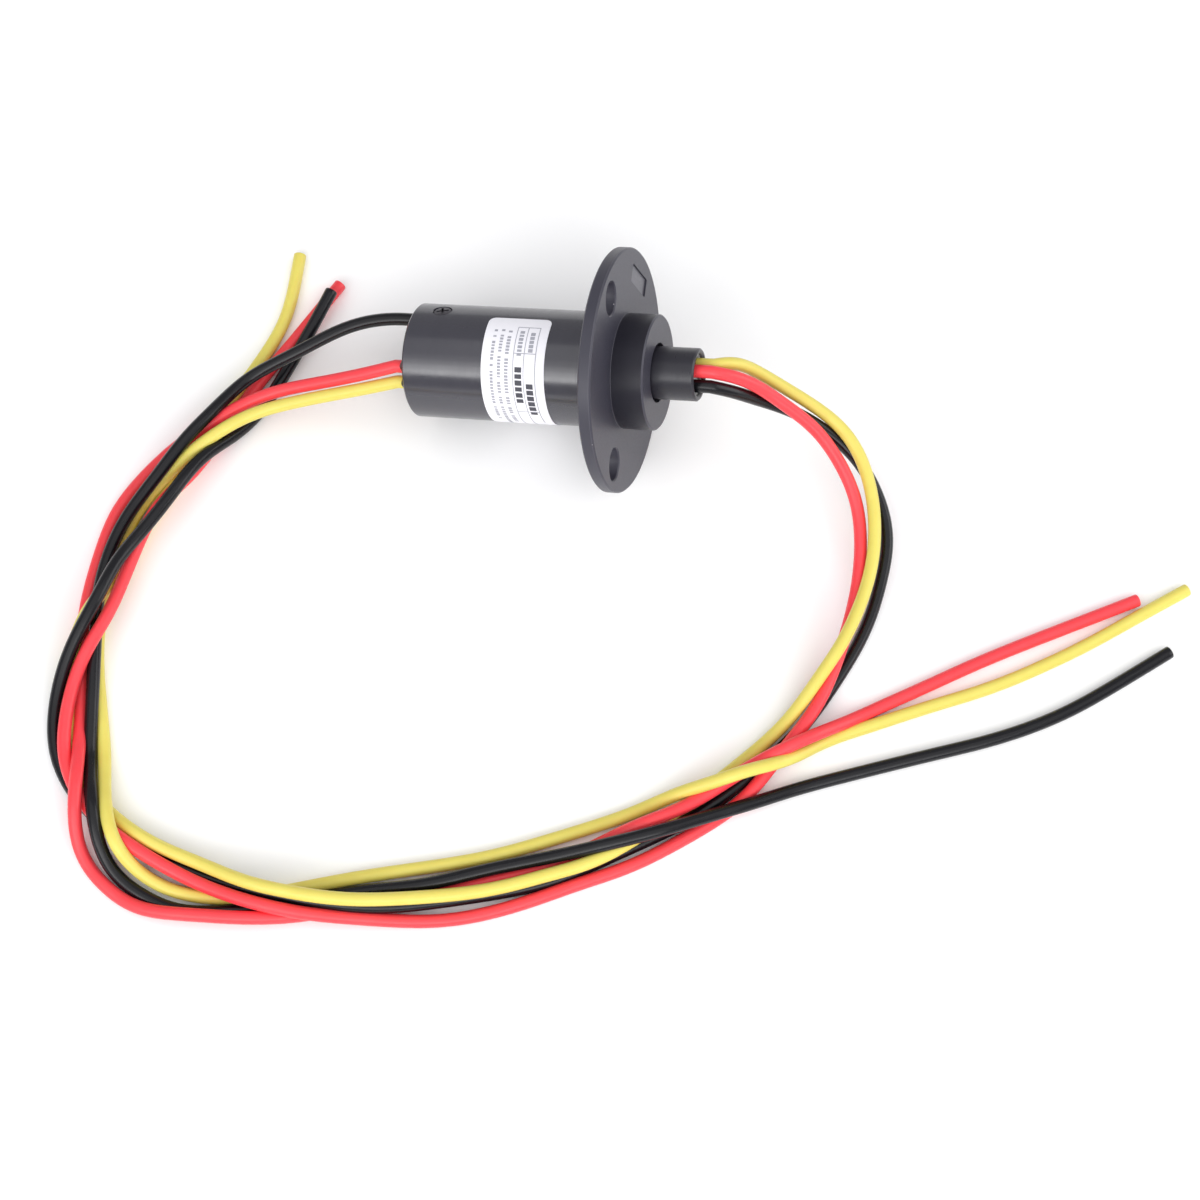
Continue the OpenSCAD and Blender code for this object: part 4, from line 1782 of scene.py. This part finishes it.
@dataclass
class Lead:
    """One soft lead: where it leaves the object, the points that it lies along, and its end."""

    side: Body
    colour: Colour
    exit: Vector
    start: Vector
    points: Sequence[Point3]
    diameter: float = 2 * LEAD_R
    sides: int = 28
    spacing: float = 0.9
    ease: float = 0.6
    passes: int = 50

    @property
    def name(self) -> str:
        """The name of the CAD node that the lead stands for."""
        return f"{self.side.value}_lead_{self.colour.value}"

    def route(self) -> list[Vector]:
        """The exit, the end of the straight start, and each point, in metres."""
        return [self.exit, self.start, *(Vector(p) * MM for p in self.points)]

    def centreline(self) -> list[Vector]:
        """The smooth curve through the route, in short steps.

        Returns:
            Points in the row frame, in metres.
        """
        route = self.route()
        last = len(route) - 1
        steps = []
        for i, here in enumerate(route):
            before = here - route[max(i - 1, 0)]
            after = route[min(i + 1, last)] - here
            if i in (0, 1, last):
                # The first stretch is straight, in line with the shaft
                steps.append(after if i == 0 else before)
                continue
            middle = (before + after) / 2
            steps.append(Vector((middle.x, middle.y, level_step(before.z, after.z))))
        line = []
        for i in range(last):
            a, b, u, v = route[i], route[i + 1], steps[i], steps[i + 1]
            parts = max(2, math.ceil((b - a).length / (self.spacing * MM)))
            for k in range(parts):
                t = k / parts
                line.append(
                    a * (2 * t**3 - 3 * t**2 + 1)
                    + b * (3 * t**2 - 2 * t**3)
                    + u * (t**3 - 2 * t**2 + t)
                    + v * (t**3 - t**2)
                )
        line.append(route[-1])
        return self.relaxed(line)

    def relaxed(self, line: Sequence[Vector]) -> list[Vector]:
        """Evens out small wiggles, as a lead's own stiffness does, and keeps its long bends.

        Args:
            line: The centreline as first drawn.

        Returns:
            The centreline with its straight start and its end unmoved, and no lower than the floor.
        """
        held = math.ceil((self.start - self.exit).length / (self.spacing * MM))
        drawn = numpy.array(line)
        once = self.averaged(drawn, held)
        points = 2 * once - self.averaged(once, held)
        points[:, 2] = numpy.maximum(points[:, 2], (self.diameter / 2 + 0.02) * MM)
        return [Vector(p) for p in points]

    def averaged(self, points: numpy.ndarray, held: int) -> numpy.ndarray:
        """Draws each point towards its neighbours again and again, apart from both ends.

        Args:
            points: The line's points.
            held: How many points at the start stay where they are.

        Returns:
            The smoother line.
        """
        made = points.copy()
        for _ in range(self.passes):
            middle = (made[:-2] + made[2:]) / 2
            made[held:-1] += self.ease * (middle - made[1:-1])[held - 1 :]
        return made

    def build(self) -> None:
        line = self.centreline()
        tube = self.insulation(line)
        strands = self.strands(line)
        tube.data.materials.append(INSULATION[self.colour].build())
        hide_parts(self.name)
        if self.side is Body.ROTOR:
            self.follow_rotor(tube)
        else:
            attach(tube, Body.STATOR.value)
        dress(strands, TINNED_COPPER, Body.STATOR)

    def follow_rotor(self, tube: bpy.types.Object) -> None:
        """Bakes the lead's place into its mesh and leaves it attached to no body.

        Args:
            tube: The lead's insulation.
        """
        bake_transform(tube)

    def rings(self, line: Sequence[Vector]) -> list[Matrix]:
        """A frame at each point of the centreline that turns as little as it can.

        Args:
            line: The centreline.

        Returns:
            A matrix for each point, with local z along the lead.
        """
        ahead = [(b - a).normalized() for a, b in zip(line, line[1:])]
        ahead.append(ahead[-1])
        directions = [ahead[0]]
        directions += [(a + b).normalized() for a, b in zip(ahead, ahead[1:])]
        side = Vector((0, 0, 1)).cross(directions[0]).normalized()
        frames = []
        for point, z_axis in zip(line, directions):
            side = (side - z_axis * side.dot(z_axis)).normalized()
            turn = Matrix((side, z_axis.cross(side), z_axis)).transposed().to_4x4()
            frames.append(Matrix.Translation(point) @ turn)
        return frames

    def insulation(self, line: Sequence[Vector]) -> bpy.types.Object:
        """The insulation as a closed tube, cut square at its far end round the strands.

        Args:
            line: The centreline.

        Returns:
            The tube, in the row frame.
        """
        outer = self.diameter / 2 * MM
        frames = self.rings(line)
        bm = bmesh.new()
        uv = bm.loops.layers.uv.new("UVMap")
        # The cut end: a soft edge, a flat face, and a hole that the strands fill
        end = [(outer, -0.12), (outer - 0.05 * MM, -0.03), (outer - 0.14 * MM, 0.0)]
        end += [(0.64 * MM, 0.0), (0.6 * MM, -0.06), (0.6 * MM, -0.5)]
        stations = [(matrix, outer, 0.0) for matrix in frames[:-1]]
        stations += [(frames[-1], radius, shift * MM) for radius, shift in end]
        rings = []
        along = 0.0
        heights = []
        for i, (matrix, radius, shift) in enumerate(stations):
            ring = []
            for k in range(self.sides):
                angle = 2 * math.pi * k / self.sides
                spot = Vector((radius * math.cos(angle), radius * math.sin(angle), shift))
                ring.append(bm.verts.new(matrix @ spot))
            rings.append(ring)
            if i and i < len(line):
                along += (line[i] - line[i - 1]).length / MM
            heights.append(along)
        girth = math.pi * self.diameter
        for i, (first, second) in enumerate(zip(rings, rings[1:])):
            for k in range(self.sides):
                n = (k + 1) % self.sides
                face = bm.faces.new([first[k], first[n], second[n], second[k]])
                marks = [(heights[i], k), (heights[i], k + 1), (heights[i + 1], k + 1)]
                marks.append((heights[i + 1], k))
                for loop, (height, turn) in zip(face.loops, marks):
                    loop[uv].uv = (height, turn / self.sides * girth)
        bm.faces.new(rings[0][::-1])
        bm.faces.new(rings[-1])
        bmesh.ops.recalc_face_normals(bm, faces=bm.faces)
        tube = from_bmesh(f"{self.name}_insulation", bm)
        tube.data.shade_smooth()
        tube.data.set_sharp_from_angle(angle=math.radians(50))
        return tube

    def strands(self, line: Sequence[Vector]) -> bpy.types.Object:
        """The bundle of strands that shows in the cut end.

        Args:
            line: The centreline.

        Returns:
            The strands, in the row frame.
        """
        strand_r, long, inset = 0.12, 0.9, 0.08
        bundle = new_object(f"{self.name}_strands", bpy.data.meshes.new("strands"))
        values = {"Strand_radius": strand_r, "Length": long, "Pitch": 2 * strand_r}
        strand_bundle().run(bundle, TINNED_COPPER, **values)
        bundle.data.transform(
            self.rings(line)[-1]
            @ Matrix.Scale(MM, 4)
            @ Matrix.Translation((0, 0, -long / 2 - inset))
        )
        return bundle


# The points that each free lead lies along, in millimetres on the table
STATOR_RED_ROUTE = (
    (-32.5, -6, 13.5), (-37, -7, 11.75), (-42.5, -8.5, 9.5), (-49.5, -10.5, 7.5),
    (-56.5, -14, 5), (-61.5, -18.5, 3.5), (-67, -23.5, 1.5), (-73.5, -35.5, 1.25),
    (-75, -44, 1.25), (-75, -59, 1.25), (-71.5, -74.5, 1.25), (-69.5, -82.5, 2.5),
    (-67.5, -90.5, 6), (-66.5, -95.5, 5.5), (-63.5, -103, 1.25), (-54, -109, 1.25),
    (-46.5, -109.5, 3.25), (-31, -107.5, 3.5), (-21, -104, 1.25), (-1.5, -96.5, 1.25),
    (16.5, -88, 1.25), (26.5, -81, 1.75), (31.5, -78, 5.25), (37.5, -74, 3.75),
    (43, -69, 3.5), (49.5, -63, 4.75), (57, -57.5, 6), (67, -49.5, 1.25),
    (78, -41.5, 1.25), (90.5, -32.5, 1.25), (115, -16.5, 1.25),
)  # fmt: skip
STATOR_BLACK_ROUTE = (
    (-38, 5, 10), (-51, -4.5, 7), (-56.5, -8, 4.5), (-62, -18.5, 6.25), (-65, -23.5, 6),
    (-67, -29, 5.75), (-72, -40, 3.75), (-73, -48, 3.75), (-73, -55.5, 3.5),
    (-69, -75, 3.5), (-67, -85, 1.5), (-64, -93, 6.25), (-61.5, -99.5, 4.75),
    (-57.5, -104.5, 1.25), (-51.5, -107, 1.25), (-43.5, -108.5, 1.25), (-25, -103, 1.25),
    (-15, -99, 1.5), (-5, -96.5, 3.5), (5.5, -91.5, 3), (16.5, -87, 3.5), (33, -80, 6.25),
    (43, -74, 3.75), (49.5, -70.5, 3.25), (56.5, -66, 1.25), (67.5, -60.5, 1.25),
    (80, -54.5, 1.25), (92.5, -48.5, 1.25), (103, -42, 1.25), (111.5, -35, 1.25),
    (122, -25.5, 1.25),
)  # fmt: skip
STATOR_YELLOW_ROUTE = (
    (-33, -8.5, 11.5), (-37.5, -9.5, 10), (-52.5, -15, 6.5), (-59, -20.5, 5.75),
    (-63.5, -25, 4.25), (-68, -32, 3), (-71, -38.5, 1.25), (-72.5, -51.5, 1.25),
    (-71, -65, 1.25), (-65, -83, 1.25), (-62, -92.5, 4.75), (-58.5, -99.5, 6.25),
    (-55.5, -102, 3), (-50.5, -104.5, 1.25), (-43, -105.5, 1.25), (-35, -104, 1.25),
    (-29, -102, 1.25), (-15.5, -96.5, 1.25), (1, -90.5, 1.25), (11, -86, 1.25),
    (29, -76, 1.25), (37, -70.5, 3), (42, -69, 6), (47.5, -65.5, 7.25), (54.5, -62, 5.5),
    (60.5, -56, 1.25), (66.5, -52.5, 1.25), (78.5, -45.5, 1.25), (91, -38.5, 1.25),
    (105, -28.5, 1.25), (114.5, -20.5, 1.25), (124, -12.5, 1.25),
)  # fmt: skip
ROTOR_YELLOW_ROUTE = (
    (32, 4, 25.5), (37, 5, 21), (54, 1, 13.5), (61.5, -9, 10.5), (64, -19.5, 8),
    (63.5, -28.5, 7), (61, -38.5, 7), (58, -45, 5.5), (54.5, -52.5, 2.5), (49, -60, 1.25),
    (40.5, -70, 1.25), (26.5, -84.5, 3.75), (17, -90, 3.75), (5.5, -95.5, 3.75),
    (-14.5, -101.5, 6), (-28, -102.5, 6.25), (-35.5, -102, 5.25), (-43, -100, 3.25),
    (-51, -98.5, 3), (-57.5, -96, 3), (-64, -92, 1.25), (-69.5, -86.5, 1.25),
    (-74, -73.5, 1.25), (-75, -67.5, 2.75), (-74, -60, 5.5), (-72.5, -56.5, 6),
    (-70.5, -50, 2.5), (-67.5, -36, 1.25), (-61.5, -18.5, 1.25), (-54.5, 1, 1.25),
    (-53, 9.5, 1.25), (-53.5, 21, 1.25),
)  # fmt: skip
ROTOR_RED_ROUTE = (
    (32, 0.5, 27), (37.5, 1.5, 22.5), (44, -0.5, 19.5), (49, -1.5, 16.5), (55, -6, 12.5),
    (59.5, -11.5, 9), (62, -21, 6), (62, -33, 4.5), (59, -49, 3.75), (54, -59, 3.5),
    (47.5, -70.5, 1.25), (32.5, -84, 1.25), (22.5, -90, 1.25), (12.5, -96, 1.25),
    (-0.5, -101.5, 1.25), (-21, -105, 3.5), (-27.5, -105.5, 5), (-35, -105, 4.25),
    (-42.5, -103.5, 2.75), (-50, -101.5, 3.5), (-62.5, -96, 3.75), (-70.5, -87.5, 3.25),
    (-72.5, -79.5, 3.75), (-73, -72, 3.75), (-71.5, -64.5, 6.25), (-70, -60.5, 5.75),
    (-69, -51, 5), (-68, -42.5, 4.25), (-66.5, -36, 4.5), (-63, -30.5, 4.25),
    (-61.5, -26, 2.75), (-55.5, -8.5, 1.25), (-51, 1.5, 1.25), (-44.5, 16.5, 1.25),
)  # fmt: skip
ROTOR_BLACK_ROUTE = (
    (32, -1.5, 25), (38.5, 0.5, 19), (46, 1, 15.5), (58.5, -3, 9.25), (66, -14, 6),
    (66.5, -23.5, 4), (65, -34.5, 1.5), (57, -53.5, 1.25), (48, -65.5, 1.25),
    (40.5, -74, 1.25), (23, -87, 1.25), (12.5, -93, 1.25), (-7.5, -100.5, 2.75),
    (-18, -102.5, 3.75), (-32, -103, 3.75), (-39.5, -102, 1.25), (-47, -101, 1.25),
    (-62, -96, 1.25), (-71.5, -88, 1.25), (-75, -80, 1.25), (-75.5, -72.5, 3.5),
    (-74.5, -65.5, 6), (-72, -58, 8.5), (-70.5, -49, 7.5), (-68.5, -44.5, 6.5),
    (-64, -34, 6.75), (-62.5, -29.5, 6.25), (-60, -24, 5), (-57, -19.5, 2.25),
    (-53, -12, 1.25), (-50, -2, 1.5), (-48, 3.5, 3), (-45.5, 13.5, 3.75),
)  # fmt: skip


STATOR_ROUTES = {
    Colour.RED: STATOR_RED_ROUTE,
    Colour.BLACK: STATOR_BLACK_ROUTE,
    Colour.YELLOW: STATOR_YELLOW_ROUTE,
}
ROTOR_ROUTES = {
    Colour.RED: ROTOR_RED_ROUTE,
    Colour.BLACK: ROTOR_BLACK_ROUTE,
    Colour.YELLOW: ROTOR_YELLOW_ROUTE,
}


@dataclass
class Leads:
    """The six free leads."""

    straight: float = 3.0

    def build(self) -> None:
        """Builds the three stator leads and the three rotor leads."""
        places = {colour: polar(RearCap.exit_r, angle) for colour, angle in EXITS.items()}
        self.side(Body.STATOR, places.items(), 0.0, -self.straight, STATOR_ROUTES)
        self.side(Body.ROTOR, Rotor().leads(), Rotor.mouth, self.straight, ROTOR_ROUTES)
        for colour in Colour:
            dress_nodes([f"stator_lead_{colour.value}_inner"], INSULATION[colour])

    def side(
        self,
        side: Body,
        places: Iterable[tuple[Colour, Point2]],
        face: float,
        ahead: float,
        routes: dict[Colour, Sequence[Point3]],
    ) -> None:
        """Builds the leads of one end.

        Args:
            side: The body that they leave.
            places: Each lead's colour and place across the shaft.
            face: Where the leads come out, along the shaft.
            ahead: How far on they stay in line with the shaft.
            routes: The points of each free lead.
        """
        for colour, (x, y) in places:
            leave, start = SHAFT.at(x, y, face), SHAFT.at(x, y, face + ahead)
            Lead(side, colour, leave, start, routes[colour]).build()


# ---------------------------------------------------------------- studio


@dataclass
class Studio:
    """A plain pale floor, soft lights and the camera."""

    floor_half: float = 4.0
    camera_at: Point3 = (0.02026, -0.18793, 0.40965)
    yaw: float = 11.728
    pitch: float = 20.0
    roll: float = -3.53
    lens: float = 70.81
    ambient: float = 0.55
    top_glow: float = 0.6
    glow: tuple[float, ...] = (0.8, 1.6, 2.8, 4.2)
    first_tilt: float = 25.0
    tilt_step: float = 11.0
    reach: float = 1.2
    box_w: float = 2.0
    end_glow: float = 2.2
    sensor: float = 36.0

    def build(self) -> None:
        """Builds the floor, the lights, the world and the camera."""
        self.camera()
        self.floor()
        self.lights()

    def camera(self) -> None:
        """The camera, which looks down on the object from in front."""
        data = bpy.data.cameras.new("camera")
        data.lens = self.lens
        data.sensor_width = self.sensor
        data.clip_start = 0.01
        camera = bpy.data.objects.new("camera", data)
        bpy.context.scene.collection.objects.link(camera)
        turn = (
            Matrix.Rotation(math.radians(self.yaw), 4, "Z")
            @ Matrix.Rotation(math.radians(self.pitch), 4, "X")
            @ Matrix.Rotation(math.radians(self.roll), 4, "Y")
        )
        camera.matrix_world = Matrix.Translation(self.camera_at) @ turn
        bpy.context.scene.camera = camera

    def floor(self) -> None:
        """A wide white sheet under the object."""
        mesh = bpy.data.meshes.new("floor")
        half = self.floor_half
        corners = [(-half, -half, 0), (half, -half, 0), (half, half, 0), (-half, half, 0)]
        mesh.from_pydata(corners, [], [(0, 1, 2, 3)])
        floor = new_object("floor", mesh)
        material = bpy.data.materials.new("white_paper_sweep")
        material.use_nodes = True
        shader = material.node_tree.nodes["Principled BSDF"]
        shader.inputs["Base Color"].default_value = linear("#ffffff")
        shader.inputs["Roughness"].default_value = 0.9
        mesh.materials.append(material)

    def lights(self) -> None:
        """A broad dim box above, and boxes that brighten step by step towards the camera's side.

        On the housing they make one long highlight that fades upwards and ends sharply below.
        One more box lights the flange's face from the shaft's end.
        """
        self.area("top_box", 0.0, 1.3, (2.2, 1.0), self.top_glow)
        for step, glow in enumerate(self.glow):
            tilt = self.first_tilt + self.tilt_step * step
            height = 2 * self.reach * math.tan(math.radians(self.tilt_step / 2))
            self.area(f"front_box_{step + 1}", tilt, self.reach, (self.box_w, height), glow)
        self.area("end_box", 64.0, self.reach, (0.9, 0.7), self.end_glow, around=105.0)
        world = bpy.data.worlds.new("studio")
        world.use_nodes = True
        back = world.node_tree.nodes["Background"]
        back.inputs["Color"].default_value = linear("#f6f6f9")
        back.inputs["Strength"].default_value = self.ambient
        bpy.context.scene.world = world
        # Straight colours, so that white paper is white
        bpy.context.scene.view_settings.view_transform = "Standard"

    def area(
        self,
        name: str,
        tilt: float,
        reach: float,
        size: Point2,
        glow: float,
        around: float = 0.0,
    ) -> None:
        """Adds a soft box that faces the object.

        Args:
            name: The light's name.
            tilt: Its lean from overhead, in degrees.
            reach: Its distance in metres.
            size: Its width and height.
            glow: Its brightness, where 1 is white paper in full light.
            around: The side it leans to, in degrees on from the camera's side.
        """
        data = bpy.data.lights.new(name, "AREA")
        data.shape = "RECTANGLE"
        data.size, data.size_y = size
        data.energy = glow * math.pi * size[0] * size[1]
        light = bpy.data.objects.new(name, data)
        bpy.context.scene.collection.objects.link(light)
        lean = math.radians(tilt)
        turn = Matrix.Rotation(math.radians(around), 4, "Z") @ Matrix.Rotation(lean, 4, "X")
        light.matrix_world = turn @ Matrix.Translation((0.0, 0.0, reach))


def main() -> None:
    """Builds every sub-assembly in order and reports each."""
    logging.basicConfig(level=logging.INFO, format="%(name)s: %(message)s")
    front = Bearing("front_bearing", rear=40.4, pitch_r=6.25, count=11, cage=Body.FRONT_CAGE)
    rear = Bearing("rear_bearing", rear=4.5, pitch_r=3.25, count=7, cage=Body.REAR_CAGE)
    parts: list[tuple[str, Callable[[], None]]] = [
        ("studio", Studio().build),
        ("leads", Leads().build),
        ("housing", Housing().build),
        ("flange", Flange().build),
        ("rear cap", RearCap().build),
        ("rotor", Rotor().build),
        ("front bearing", front.build),
        ("rear bearing", rear.build),
        ("contacts", Contacts().build),
    ]
    for name, build in parts:
        build()
        log.info("%s done", name)


if __name__ == "__main__":
    main()
